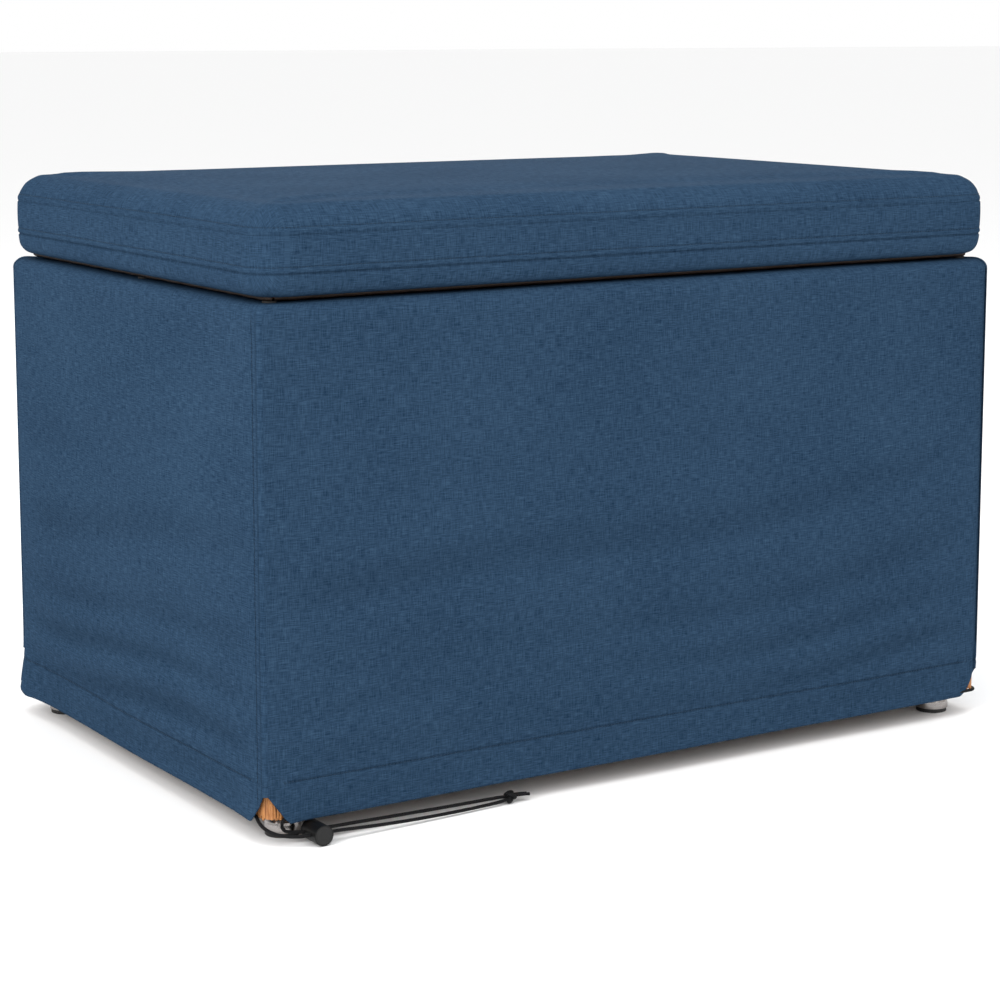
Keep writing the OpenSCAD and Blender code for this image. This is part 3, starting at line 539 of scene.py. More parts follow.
cane_colors = (0.20, 0.065, 0.014), (0.56, 0.24, 0.065)
honey_cane = cane_material("honey_cane", *cane_colors)
# Painted shade: the lid's edge strand is near-black cane, for the shaded gap under the cushion.
gap_shade_cane = cane_material("gap_shade_cane", (0.012, 0.006, 0.003), (0.040, 0.018, 0.008))
finishes = {
    "rattan": cane_material("honey_cane_block", *cane_colors, block=True),
    "lining": lining_cloth,
    "cord": cord_black,
}
hard_finishes = {
    "frame_paint": dict(color=(0.022, 0.012, 0.008), worn=(0.034, 0.020, 0.013), rough=(0.35, 0.5), coat=0.2),
    "board": dict(
        color=(0.16, 0.085, 0.038), worn=(0.27, 0.16, 0.08), rough=(0.6, 0.8), grain=700, stretch=(0.06, 1, 1)
    ),
    "lock_plastic": dict(color=0.003, worn=0.006, rough=(0.38, 0.55), bump=0.3, shine=0.2),
    "plunger_plastic": dict(color=0.015, worn=0.022, rough=(0.5, 0.7), bump=0.5, shine=0.2),
    "spring_steel": dict(color=0.45, worn=0.55, rough=(0.25, 0.4), metal=1.0),
    "pad_rubber": dict(color=0.006, worn=0.013, rough=(0.6, 0.8), bump=0.4),
    "foot_chrome": dict(
        color=(0.27, 0.25, 0.24), worn=(0.35, 0.33, 0.32), rough=(0.16, 0.28), metal=1.0, grain=300, bump=0.05
    ),
    "zinc": dict(color=(0.46, 0.47, 0.48), worn=0.60, rough=(0.3, 0.5), metal=1.0),
    "hinge_steel": dict(
        color=(0.44, 0.44, 0.45), worn=0.58, rough=(0.28, 0.45), metal=1.0, stretch=(0.05, 1, 1)
    ),
    "strut_paint": dict(color=0.008, worn=0.016, rough=(0.25, 0.42), coat=0.3),
    "rod_chrome": dict(color=(0.62, 0.62, 0.63), worn=0.70, rough=(0.08, 0.18), metal=1.0, bump=0.03),
    "hook_loop": dict(
        color=(0.008, 0.008, 0.01), worn=(0.02, 0.02, 0.022), rough=(0.85, 0.95), grain=1500, bump=0.8
    ),
    "foam": dict(color=(0.62, 0.55, 0.38), worn=(0.72, 0.66, 0.5), rough=(0.85, 0.95), grain=1200, bump=0.8),
    "zip_nylon": dict(color=(0.010, 0.020, 0.038), worn=(0.022, 0.038, 0.066), rough=(0.35, 0.5), grain=1500),
    "zip_slider_metal": dict(
        color=(0.012, 0.022, 0.040), worn=(0.03, 0.05, 0.08), rough=(0.3, 0.45), metal=0.4
    ),
}
finishes.update({name: hard_material(name, **look) for name, look in hard_finishes.items()})
print("materials:", len(bpy.data.materials), "groups:", len(bpy.data.node_groups))

# %% [markdown]
# CAD pieces that stay in view keep their exact shape and only get their finish. The frame's record says
# which slot each piece belongs to, so one loop paints them all. The cloth covers are skipped, because
# sewn pieces replace them further down.

# %% Paint the CAD pieces
slot_of = {part["node"]: part["material_slot"] for part in frame["record"]["subparts"]}


def paint(piece, finish):
    """One material on the whole piece."""
    piece.data.materials.clear()
    piece.data.materials.append(finish)


def thicken(piece, thickness, offset=-1):
    """Give a cloth surface its thickness: offset -1 grows it inwards, 0 both ways."""
    solid = piece.modifiers.new("cloth thickness", "SOLIDIFY")
    solid.thickness, solid.offset = thickness, offset


for name, piece in nodes.items():
    if slot_of[name] in finishes:
        paint(piece, finishes[slot_of[name]])
print("painted", sum(slot_of[name] in finishes for name in nodes), "CAD pieces")

# %% [markdown]
# ## The slipcover
# The cover is sewn from four flat sides, a band of cloth round the top edge of the box, and a hem with
# the drawcord inside. It could be a cloth simulation, but it is stretched over a stiff box, so its shape
# is nearly known: I write it down instead. One grid covers it all. Columns run once round the box, and
# rows run up from the hem, over the top edge, inwards across the rim and down inside the box. The hem is
# the only edge that changes height: it rises to a notch at each corner, where the foot and the cord are.

# %% Outline of the cover, seen from above
corner_r = 0.0035
hem_tall = 0.035
corner_seam = 0.0095
side_lengths = np.array([2 * half_w, 2 * half_d] * 2)
side_turns = np.array([0, 1, 2, 3]) * np.pi / 2


def rounded_outline(a, b, r, per_side=(132, 88, 132, 88), per_corner=6, extra=()):
    """Points, outward normals and corner distances once round a rounded rectangle, from the front left.

    Each side is straight from corner to corner less r, and each corner is a quarter circle of radius r.
    a, b and r may be arrays of shape (rows, 1), which gives one outline for each row. extra holds
    distances from the end of each side where it has columns besides the even ones."""
    starts = [(-1, -1), (1, -1), (1, 1), (-1, 1)]
    xs, ys, normals, near, far_end, where = [], [], [], [], [], []
    for side, ((sx, sy), (ex, ey)) in enumerate(zip(starts, starts[1:] + starts[:1])):
        f = 0.5 - 0.5 * np.cos(np.linspace(0, np.pi, per_side[side] + 1)[:-1])
        f = 0.35 * f + 0.65 * np.linspace(0, 1, per_side[side] + 1)[:-1]
        f = np.sort(np.concatenate([f, 1 - np.array(extra) / side_lengths[side]])) if len(extra) else f
        length = 2 * ((a - r) if side % 2 == 0 else (b - r))
        out = np.array([np.sin(side_turns[side]), -np.cos(side_turns[side])])
        x0 = sx * (a - r) + out[0] * r
        y0 = sy * (b - r) + out[1] * r
        x1 = ex * (a - r) + out[0] * r
        y1 = ey * (b - r) + out[1] * r
        xs.append(x0 + (x1 - x0) * f)
        ys.append(y0 + (y1 - y0) * f)
        normals.append(np.tile(out, (len(f), 1)))
        full = side_lengths[side]
        near.append(f * full)
        far_end.append((1 - f) * full)
        where.append(np.full(len(f), side))
        turn = side_turns[side] - np.pi / 2 + np.linspace(0, np.pi / 2, per_corner + 1)[:-1]
        xs.append(ex * (a - r) + r * np.cos(turn))
        ys.append(ey * (b - r) + r * np.sin(turn))
        normals.append(np.stack([np.cos(turn), np.sin(turn)], -1))
        near.append(np.full(len(turn), full))
        far_end.append(np.zeros(len(turn)))
        where.append(np.full(len(turn), side))
    joined = [np.concatenate(part, axis=-1) for part in (xs, ys, near, far_end, where)]
    return joined[0], joined[1], np.vstack(normals), *joined[2:]


cover_x, cover_y, cover_out, to_start, to_end, cover_side = rounded_outline(
    half_w, half_d, corner_r, extra=np.array([1.2, 5.5, 7.8, 8.6, 9.3, 10.0, 10.8, 13.0]) * MM
)
stretched_r = 0.014
to_corner = np.minimum(to_start, to_end)
beside = np.maximum(stretched_r - np.maximum(to_corner, corner_r), 0)
sharp = (cover_x < -half_w + 0.03) & (cover_y < -half_d + 0.03)
round_off = (stretched_r - np.sqrt(stretched_r**2 - beside**2)) * ~sharp
cover_x, cover_y = cover_x - round_off * cover_out[:, 0], cover_y - round_off * cover_out[:, 1]
around = np.concatenate([[0], np.cumsum(np.hypot(np.diff(cover_x), np.diff(cover_y)))])
print("cover outline:", len(around), "columns,", round(float(around[-1]), 3), "m round")

# %% [markdown]
# Cloth that is pulled down over a box by its drawcord folds where it has slack, low on the sides. The
# folds are long and nearly level. They die out at the corners, where the cloth is tight round the post.

# %% Folds and creases of the cloth
def bell(x, centre, width):
    """Bell curve of height 1."""
    return np.exp(-(((x - centre) / width) ** 2))


def folds(s, z, side, a, b, lift=1.0):
    """Soft folds low on the sides: level waves up the cloth that drift along it and fade out at the corners.

    A fold mostly stands off the box, because the cane behind it doesn't let the cloth sink in. With
    lift 0 the waves are level about zero, so a negative value is a valley."""
    near = np.minimum(a, b)
    drift = 0.012 * np.sin(5.1 * s + side) + 0.008 * np.sin(11.3 * s + 2.0)
    open_cloth = 1 - np.exp(-((near / 0.045) ** 2))
    low = bell(z, hem_z + 0.075, 0.05) * (0.6 + 0.4 * np.sin(7.3 * s + 2.9)) * np.where(side == 3, 1.6, 1)
    fold = 0.0020 * low * (0.4 * lift + np.sin((z + drift) * 2 * np.pi / 0.043))
    slanted = z - 0.05 * (a - 0.4 * side_lengths[side]) + drift
    fold = fold + 0.0015 * bell(z, hem_z + 0.19, 0.07) * (0.5 * lift + np.sin(slanted * 2 * np.pi / 0.085))
    return fold * open_cloth


def cloth_swell(s, z, side, a, b):
    """How far the cloth stands off the box: a slow bulge, a puffed top edge, folds and the hem's seam.

    The bulge is a half sine both ways, so it is zero at the corners, the hem and the top edge."""
    high = np.clip((z - hem_z) / (box_top - hem_z), 0, 1)
    middle = np.sin(np.pi * np.clip(a / side_lengths[side], 0, 1))
    swell = 0.0012 * middle * np.sin(np.pi * high) + 0.0007 * bell(z, box_top - 0.017, 0.007) * middle**0.3
    hem = np.clip(1 - (z - hem_z) / hem_tall, 0, 1)
    swell = swell + folds(s, z, side, a, b) + hem * 0.0007 * np.sin(19 * s + 0.5) * middle
    return swell - bell(z, hem_z + hem_tall, 0.0016) * 0.0007 + 0.0008 * bell(z, hem_z + 0.004, 0.0045)


def corner_habit(z, side, a, b):
    """What each hem corner does: the left back one flares and the front right one curls under."""
    low = np.exp(-((np.clip(z - hem_z, 0, 1) / 0.034) ** 2))
    back_left = np.where(side == 2, b, np.where(side == 3, a, 9.0))
    front_right = np.where(side == 0, b, np.where(side == 1, a, 9.0))
    before_corner = np.where(side == 3, b, 9.0)
    flare = 0.0062 * low * np.exp(-((back_left / 0.045) ** 2))
    curl = -0.0036 * np.exp(-np.clip(z - hem_z, 0, 1) / 0.013) * bell(front_right, 0.012, 0.018)
    droop = 0.0012 * low * bell(before_corner, 0.028, 0.02)
    return flare + curl + droop


def hem_height(side, a, b):
    """Height of the hem: level, and rising straight to a notch within 19 mm of a corner.

    At the left back corner the notch gapes less, because the cloth hangs lower there."""
    notch = np.clip(1 - np.minimum(a, b) / 0.019, 0, 1)
    hangs = ((side == 2) & (b < 0.1)) | ((side == 3) & (a < 0.1))
    return hem_z + 0.025 * notch * np.where(hangs, 0.4, 1) - 0.0007 * bell(np.minimum(a, b), 0.024, 0.008)

# %% [markdown]
# The swell moves the plain wall outwards along its normal. Above the wall, the cloth turns over the edge
# on a quarter circle, lies flat on the rim and turns down inside. Rows are close at the hem, its seam and
# the top edge, where the shape changes quickly, and wide apart between them.

# %% Sew the cover
def cover_wall(z):
    """Points of the outer wall at the heights z, an array of rows by columns."""
    out = cloth_swell(around, z, cover_side, to_start, to_end) + corner_habit(z, cover_side, to_start, to_end)
    out = out - 0.0005 * bell(to_end, corner_seam, 0.0030) * (cover_side == 3)
    x = cover_x + out * cover_out[:, 0]
    y = cover_y + out * cover_out[:, 1]
    return np.stack([x, y, np.broadcast_to(z, x.shape)], -1)


edge_r = 0.0095
wall_top = box_top - edge_r
fine_rows = np.array([0, 1.2, 3, 5, 7, 9.5, 13, 18, 24, 29, 31.5, 33, 34, 35, 36, 37, 38.5, 41]) * MM
plain_rows = np.linspace(0.046, box_top - hem_z - 0.036, 58)
band_rows = box_top - hem_z - np.array([30, 27, 24, 21.5, 19, 16.5, 14, 11.5]) * MM
levels = np.concatenate([fine_rows, plain_rows, band_rows, [wall_top - hem_z]]) / (wall_top - hem_z)
bottom = hem_height(cover_side, to_start, to_end)[None, :]
wall_z = bottom + (wall_top - bottom) * levels[:, None]
wall = cover_wall(wall_z)

turn = np.linspace(0, np.pi / 2, 8)[1:, None]
fold_inset = np.vstack([
    edge_r * (1 - np.cos(turn)), np.array([[0.015], [0.020], [0.025], [turn_in - 0.003]]),
    turn_in - 0.003 * (1 - np.sin(np.linspace(0.5, np.pi / 2, 3)[:, None])), np.full((4, 1), turn_in),
])
fold_z = np.vstack([
    wall_top + edge_r * np.sin(turn), np.full((4, 1), box_top),
    box_top - 0.003 * (1 - np.cos(np.linspace(0.5, np.pi / 2, 3)[:, None])),
    box_top - np.array([[0.008], [0.014], [0.019], [0.0235]]),
])
shrink_x = 1 - fold_inset / half_w
shrink_y = 1 - fold_inset / half_d
soft = 0.0003 * np.sin(23 * around)[None, :] * bell(fold_inset, 0.018, 0.012)
fold = np.stack([cover_x * shrink_x, cover_y * shrink_y, fold_z + soft], -1)
cover_points = np.vstack([wall, fold])
rows, columns = cover_points.shape[:2]
row_steps = np.linalg.norm(np.diff(cover_points, axis=0), axis=2)
climb = np.vstack([np.zeros((1, columns)), np.cumsum(row_steps, axis=0)])
cover_uv = np.stack([np.broadcast_to(around, (rows, columns)), climb + bottom], -1)

quads = grid_faces(rows, columns, wrap=True)
slipcover = mesh_piece("slipcover", cover_points.reshape(-1, 3), quads)
layer = slipcover.data.uv_layers.new(name="cloth")
loop_uv = cover_uv.reshape(-1, 2)[quads]
wraps = np.ptp(loop_uv[:, :, 0], axis=1) > 1
loop_uv[wraps, :, 0] += np.where(loop_uv[wraps, :, 0] < 1, around[-1], 0)
layer.data.foreach_set("uv", loop_uv.ravel())


def paint_seam_fold_shade(piece, values):
    """Point attribute of painted shade, from 0 on open cloth to 1 in a seam."""
    layer = piece.data.attributes.new("seam_fold_shade", "FLOAT", "POINT")
    layer.data.foreach_set("value", np.clip(values, 0, 1).astype(np.float32).ravel())


# Painted shade along the hem's stitch line, the corner seams and the valleys of the low folds.
hem_seam_shade = bell(cover_points[:, :, 2], hem_z + hem_tall, 0.0011)
corner_seam_shade = bell(to_end, 0.0012, 0.0006)
side_seam_shade = 0.8 * (bell(to_end, corner_seam - 0.0002, 0.0008) + corner_seam_shade) * (cover_side == 3)
side_seam_shade = np.maximum(side_seam_shade, 0.15 * corner_seam_shade)
seam_shade = np.maximum(0.8 * hem_seam_shade, side_seam_shade[None, :] * (cover_points[:, :, 2] < box_top - 0.004))
fold_valley_shade = np.clip(-folds(around, cover_points[:, :, 2], cover_side, to_start, to_end, lift=0) / 0.002, 0, 1)
paint_seam_fold_shade(slipcover, np.maximum(seam_shade, 0.42 * fold_valley_shade))
thicken(slipcover, 0.0013)
paint(slipcover, cover_cloth)
print("slipcover:", rows, "rows by", columns, "columns")

# %% [markdown]
# A topstitch is a row of short bridges of thread. Each one is a small bent tube: its middle stands on
# the cloth and its ends dive into it. Every stitch has the same few faces, and one array expression
# places them all along a line on the cloth.

# %% Stitches
def bridges(centre, along, up, length, radius, rise, sink):
    """Bent tubes: at l from -1 to 1 along its length, a tube is rise times (1 - l squared) less sink high."""
    across = np.cross(along, up)
    l = np.array([-1, -0.55, 0.55, 1.0])
    angle = np.linspace(0, 2 * np.pi, 5, endpoint=False)
    width = radius * np.array([0.5, 1, 1, 0.5])
    ring_h = (rise * (1 - l**2) - sink)[:, None] + width[:, None] * np.sin(angle)
    ring_w = width[:, None] * np.cos(angle)
    ring_l = np.broadcast_to((l * length / 2)[:, None], ring_h.shape)
    points = (
        centre[:, None, None] + along[:, None, None] * ring_l[..., None]
        + up[:, None, None] * ring_h[..., None] + across[:, None, None] * ring_w[..., None]
    )
    each = grid_faces(4, 5, wrap=True)
    faces = (each[None] + (np.arange(len(centre)) * 20)[:, None, None]).reshape(-1, 4)
    uv = np.stack(np.broadcast_arrays(angle / (2 * np.pi), ring_l), -1).reshape(-1, 2)
    return points.reshape(-1, 3), faces.tolist(), np.tile(uv, (len(centre), 1))


def stitches(line, normals, gap=0.0036, closed=True):
    """Stitches every gap along a line of points that stand up along their normals."""
    if closed:
        line, normals = np.vstack([line, line[:1]]), np.vstack([normals, normals[:1]])
    run = np.concatenate([[0], np.cumsum(np.linalg.norm(np.diff(line, axis=0), axis=1))])
    at = np.arange(gap / 2, run[-1], gap)
    centre = np.stack([np.interp(at, run, line[:, i]) for i in range(3)], -1)
    ahead = np.stack([np.interp(at + 0.0005, run, line[:, i]) for i in range(3)], -1)
    up = unit(np.stack([np.interp(at, run, normals[:, i]) for i in range(3)], -1))
    return bridges(centre, unit(ahead - centre), up, 0.75 * gap, 0.0003, 0.00042, 0.00012)


cover_normals = np.column_stack([cover_out, np.zeros(len(cover_out))])
hem_line = cover_wall(np.full((1, columns), hem_z + hem_tall))[0]
end_column = int(np.argmin(np.abs(to_end - corner_seam) + 9 * (cover_side != 3)))
rise = np.linspace(hem_z + 0.020, box_top - 0.012, 60)
seam_line = cover_wall(np.broadcast_to(rise[:, None], (60, columns)))[:, end_column]
cover_stitches = piece_from_parts("cover_stitches", [
    stitches(hem_line, cover_normals),
    stitches(seam_line, np.tile(cover_normals[end_column], (60, 1)), closed=False),
])
paint(cover_stitches, thread_blue)
for piece in (slipcover, cover_stitches):
    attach(piece, "box")
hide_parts("front_cover", "back_cover", "left_cover", "right_cover")

# %% [markdown]
# ## The cushion
# The pad is a foam block in a boxed cover: a top panel, a bottom panel and a band between them, joined by
# two seams that run all the way round. Its mesh is a set of rings, like the cover's, from the middle of
# the bottom, over the bottom edge, up the band, over the rounder top edge and in to the middle of the
# top. Rows are a millimetre apart where the seams are, so that a seam can be a real groove.

# %% Rings of the cushion
pad_a, pad_b = half_w - MM, half_d - MM
pad_corner, top_r, bottom_r = 0.029, 0.025, 0.014
inner = 0.040


def arc(count, start, end):
    """Angles of a quarter turn, ends included, as radians from start to end degrees."""
    return np.radians(np.linspace(start, end, count))


low_arc, high_arc = arc(8, 0, 90), arc(24, 0, 90)
seam_rows = np.arange(side_low - 0.006, side_high + 0.0005, 0.001)
band_z = np.concatenate([[cushion_low + bottom_r + 0.002], seam_rows])
band_z = band_z[(band_z > cushion_low + bottom_r + 0.001) & (band_z < seat_top - top_r - 0.0005)]
edge_inset = np.concatenate([
    [inner, 0.033, 0.026, 0.019], bottom_r * (1 - np.sin(low_arc)), np.zeros(len(band_z)),
    top_r * (1 - np.cos(high_arc)), [0.029, 0.034, inner],
])
edge_z = np.concatenate([
    np.full(4, cushion_low), cushion_low + bottom_r * (1 - np.cos(low_arc)), band_z,
    seat_top - top_r + top_r * np.sin(high_arc), np.full(3, seat_top),
])
radius = np.maximum(pad_corner - edge_inset, 0.004)[:, None]
pad_x, pad_y, pad_out, start_far, end_far, _ = rounded_outline(
    pad_a - edge_inset[:, None], pad_b - edge_inset[:, None], radius, (118, 78, 118, 78), 12
)
panel_rows = 25
towards = np.linspace(1, 0.02, panel_rows + 1)[1:]
core = np.stack([pad_x[0], pad_y[0]], -1)
panel_rings = core * towards[:, None, None]
level = np.ones((len(towards), len(core), 1))
bottom_rings = np.concatenate([panel_rings[::-1], level * cushion_low], -1)
top_rings = np.concatenate([panel_rings, level * seat_top], -1)
edge_rings = np.stack([pad_x, pad_y, np.broadcast_to(edge_z[:, None], pad_x.shape)], -1)
rings = np.concatenate([bottom_rings, edge_rings, top_rings])
pad_columns = rings.shape[1]
pad_points = np.vstack([rings.reshape(-1, 3), [[0, 0, cushion_low], [0, 0, seat_top]]])
pad_quads = grid_faces(len(rings), pad_columns, wrap=True)
last_ring = (len(rings) - 1) * pad_columns
poles = [((i + 1) % pad_columns, i, len(pad_points) - 2) for i in range(pad_columns)]
poles += [(last_ring + i, last_ring + (i + 1) % pad_columns, len(pad_points) - 1) for i in range(pad_columns)]
cushion = mesh_piece("cushion_cover", pad_points, pad_quads.tolist() + poles)
print("cushion rings:", len(rings), "by", pad_columns)

# %% [markdown]
# The stuffing is a simulation. A copy of the pad is remeshed into even six millimetre cells, because
# cloth works best on those, and pressure blows it up for twenty frames while its bottom and its two
# seams are held. Each point then keeps at most three millimetres of its move, and hardly any of a move
# inwards, since foam fills the cover tightly. The fine mesh settles onto the result, and the seams are
# pressed into it afterwards.

# %% Stuff the cushion
def points_of(mesh):
    """All the points of a mesh as an array."""
    flat = np.zeros(len(mesh.vertices) * 3)
    mesh.vertices.foreach_get("co", flat)
    return flat.reshape(-1, 3)


def evaluated(piece):
    """A new mesh of the piece with its modifiers applied."""
    return bpy.data.meshes.new_from_object(piece.evaluated_get(bpy.context.evaluated_depsgraph_get()))


def stuffed(piece, cell=0.006, pressure=4.0, cap=0.003, frames=20):
    """Even copy of the piece, blown up as cloth.

    A move longer than cap is multiplied by cap over its length, so cap is the longest there is."""
    even = bpy.data.objects.new("stuffing", piece.data.copy())
    bpy.context.scene.collection.objects.link(even)
    remesh = even.modifiers.new("even", "REMESH")
    remesh.mode = "VOXEL"
    remesh.voxel_size = cell
    even.data = evaluated(even)
    even.modifiers.clear()
    rest = points_of(even.data)
    wall = (rest[:, 2] > side_low - 0.004) & (rest[:, 2] < side_high + 0.004)
    seam = wall & (np.minimum(abs(rest[:, 2] - side_low), abs(rest[:, 2] - side_high)) < 0.0032)
    held = even.vertex_groups.new(name="held")
    held.add(np.flatnonzero(seam | (rest[:, 2] < cushion_low + 0.004)).tolist(), 1.0, "REPLACE")
    cloth = even.modifiers.new("cloth", "CLOTH").settings
    cloth.use_pressure = True
    cloth.uniform_pressure_force = pressure
    cloth.effector_weights.gravity = 0
    cloth.vertex_group_mass = "held"
    for frame_number in range(1, frames + 1):
        bpy.context.scene.frame_set(frame_number)
    blown = evaluated(even)
    normals = np.zeros(len(rest) * 3)
    even.data.vertices.foreach_get("normal", normals)
    normals = normals.reshape(-1, 3)
    move = points_of(blown) - rest
    inward = np.minimum((move * normals).sum(1, keepdims=True), 0)
    move -= 0.9 * inward * normals
    size = np.linalg.norm(move, axis=1, keepdims=True)
    move *= np.minimum(1, cap / np.maximum(size, 1e-9))
    even.modifiers.clear()
    even.data.vertices.foreach_set("co", (rest + move).ravel())
    even.data.update()
    bpy.context.scene.frame_set(1)
    print("stuffing cells:", len(rest), "largest move before the cap:", round(float(size.max()), 4))
    return even


stuffing = stuffed(cushion)
even_out = stuffing.modifiers.new("round", "SUBSURF")
even_out.levels = even_out.render_levels = 1
settle = cushion.modifiers.new("settle", "SHRINKWRAP")
settle.target = stuffing
settled = evaluated(cushion)
pad_points = points_of(settled)
cushion.modifiers.clear()
bpy.data.objects.remove(stuffing)

# %% [markdown]
# A seam pulls the cloth in and a row of stitches pulls it in less, so both are bell curves of the height.
# Between the two the folded seam allowance stands up a little. Small waves along the seam are puckers.

# %% Press in the seams
pad_grid = pad_points[:-2].reshape(rings.shape)
height = pad_grid[:, :, 2]
wall_share = np.clip((height - cushion_low - 0.006) / 0.012, 0, 1)
wall_share = wall_share * np.clip((seat_top - 0.006 - height) / 0.012, 0, 1)
side_long = np.where(start_far + end_far > 0, start_far + end_far, 1)
waist = np.sin(np.pi * np.clip(start_far / side_long, 0, 1)) ** 0.7
seam_low, seam_high = side_low - 0.0025, side_high - 0.0025
stitch_low, stitch_high = seam_low + 0.0055, seam_high + 0.0065
seam_press = (
    -0.0013 * bell(height, seam_low, 0.0009) - 0.0005 * bell(height, stitch_low, 0.0009)
    - 0.0011 * bell(height, seam_high, 0.0009) - 0.0005 * bell(height, stitch_high, 0.0009)
    + 0.0004 * bell(height, (seam_low + stitch_low) / 2, 0.0020)
    + 0.0004 * bell(height, (seam_high + stitch_high) / 2, 0.0022)
)
to_seam = np.minimum(abs(height - seam_low), abs(height - seam_high))
pucker = 0.00035 * np.sin(2 * np.pi * start_far / 0.0135) * np.exp(-to_seam / 0.006)
sag = 0.0009 * np.sin(9 * start_far + 1) * bell(height, (side_low + side_high) / 2, 0.014)
outwards = seam_press + (pucker + sag - 0.0012 * waist) * wall_share
pad_grid[:, :, :2] += outwards[:, :, None] * pad_out[None]
quarter_x, quarter_y = np.pi / 2 * pad_grid[:, :, 0] / half_w, np.pi / 2 * pad_grid[:, :, 1] / half_d
crown = 0.0024 * np.cos(quarter_x) * np.cos(quarter_y)
soft_top = 0.0002 * np.sin(11 * pad_grid[:, :, 0] + 2) * np.sin(13 * pad_grid[:, :, 1])
pad_grid[:, :, 2] += (crown + soft_top) * (height > seat_top - 0.02)
zip_low, zip_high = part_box("zip_tape")
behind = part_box("zip_tape")[0].y - 0.0003
in_zip = np.clip((zip_high.x - abs(pad_grid[:, :, 0])) / 0.004, 0, 1) * (pad_grid[:, :, 1] > 0.2)
in_zip = in_zip * np.clip((0.0128 - abs(height - (zip_low.z + zip_high.z) / 2)) / 0.0014, 0, 1)
pad_grid[:, :, 1] += (np.minimum(pad_grid[:, :, 1], behind) - pad_grid[:, :, 1]) * in_zip
pad_points[:-2] = pad_grid.reshape(-1, 3)
pad_points[-1, 2] = pad_grid[-1, :, 2].mean()
cushion.data.vertices.foreach_set("co", pad_points.ravel())
# Painted shade in the cushion's two seams and along their rows of stitches.
pad_seam_shade = (
    bell(height, seam_low, 0.0008) + 0.4 * bell(height, stitch_low, 0.0007)
    + 0.7 * bell(height, seam_high, 0.0008) + 0.4 * bell(height, stitch_high, 0.0007)
)
paint_seam_fold_shade(cushion, np.concatenate([pad_seam_shade.ravel(), [0, 0]]))
print("cushion box:", np.round(pad_points.min(0), 4), np.round(pad_points.max(0), 4))

# %% [markdown]
# Each panel of the cover is cut from the same bolt, so its weave has its own direction. On the top and
# the bottom it follows the two edges, and goes over the rounded edge as if laid flat. On the band it runs
# round the cushion. The UVs are these flat cuts, in metres, and they jump at the two seams.

# %% Lay the weave on each panel
ring_step = np.linalg.norm(np.diff(pad_grid, axis=0), axis=2).mean(1)
ring_run = np.concatenate([[0], np.cumsum(ring_step)])
first_edge, last_edge = panel_rows, panel_rows + len(edge_z) - 1
laid_low = -(inner - (ring_run - ring_run[first_edge]))
laid_high = -(inner - (ring_run[last_edge] - ring_run))


def laid_flat(beyond):
    """Flat place of each point: the rim of the core, moved outwards by the length of cloth past it."""
    past = np.maximum(beyond + inner, 0)[:, None, None]
    on_core = np.where(past > 0, core[None], pad_grid[:, :, :2])
    return on_core + past * pad_out[None]


band_steps = np.linalg.norm(np.diff(pad_grid[first_edge + 14, :, :2], axis=0), axis=1)
round_pad = np.concatenate([[0], np.cumsum(band_steps)])
band_uv = np.stack(np.broadcast_arrays(round_pad[None], ring_run[:, None]), -1)
ring_height = np.concatenate([np.full(panel_rows, cushion_low), edge_z, np.full(panel_rows, seat_top)])
row_kind = np.digitize((ring_height[:-1] + ring_height[1:]) / 2, [side_low, side_high])
row_kind[:first_edge], row_kind[last_edge:] = 0, 2
flat_cuts = np.stack([laid_flat(laid_low), band_uv + [3.0, 0], laid_flat(laid_high) + [0, 2.0]])
corner_of = pad_quads.reshape(len(rings) - 1, pad_columns, 4)
pad_uv = flat_cuts.reshape(3, -1, 2)[row_kind[:, None, None], corner_of]
pad_uv[row_kind == 1, -1, 1:3, 0] += round_pad[-1]
pole_uv = pad_points[np.array(poles), :2] + np.repeat([[0, 0], [0, 2.0]], pad_columns, axis=0)[:, None]
layer = cushion.data.uv_layers.new(name="cloth")
layer.data.foreach_set("uv", np.concatenate([pad_uv.ravel(), pole_uv.ravel()]))
cushion.data.update()


def seam_stitches(z):
    """Row of stitches round the cushion on the ring nearest to the height z."""
    row = int(np.argmin(abs(ring_height - z)))
    return stitches(pad_grid[row], np.column_stack([pad_out, np.zeros(pad_columns)]))


both_rows = [seam_stitches(stitch_low), seam_stitches(stitch_high)]
cushion_stitches = piece_from_parts("cushion_stitches", both_rows)
paint(cushion, cushion_cloth)
paint(cushion_stitches, thread_blue)
for piece in (cushion, cushion_stitches):
    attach(piece, "lid")
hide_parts("cushion_foam", "cushion_bottom", "cushion_side_band", "cushion_top")
print("cushion faces:", len(cushion.data.polygons), "stitch faces:", len(cushion_stitches.data.polygons))

# %% [markdown]
# ## The zip
# A zip along the back lets the foam out. Its tape lies a little behind the band, in a recess pressed into
# the cushion above. The coil is a nylon wire wound into loops, so it is a row of ribs across the tape,
# made by the same function as the stitches, only stouter and turned upright.

# %% Zip tape and coil
tape_low, tape_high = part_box("zip_tape")
tape_x, tape_z = np.meshgrid(
    np.linspace(tape_low.x, tape_high.x, 161), np.linspace(tape_low.z, tape_high.z, 9)
)
tape_y = tape_high.y - 0.0001 + 0.00012 * np.sin(tape_x * 210) * np.sin(tape_z * 300)
tape = mesh_piece(
    "zip_tape_cloth", np.stack([tape_x, tape_y, tape_z], -1).reshape(-1, 3), grid_faces(9, 161)[:, ::-1],
    np.stack([tape_x, tape_z], -1).reshape(-1, 2),
)
thicken(tape, 0.0005)
paint(tape, zip_cloth)

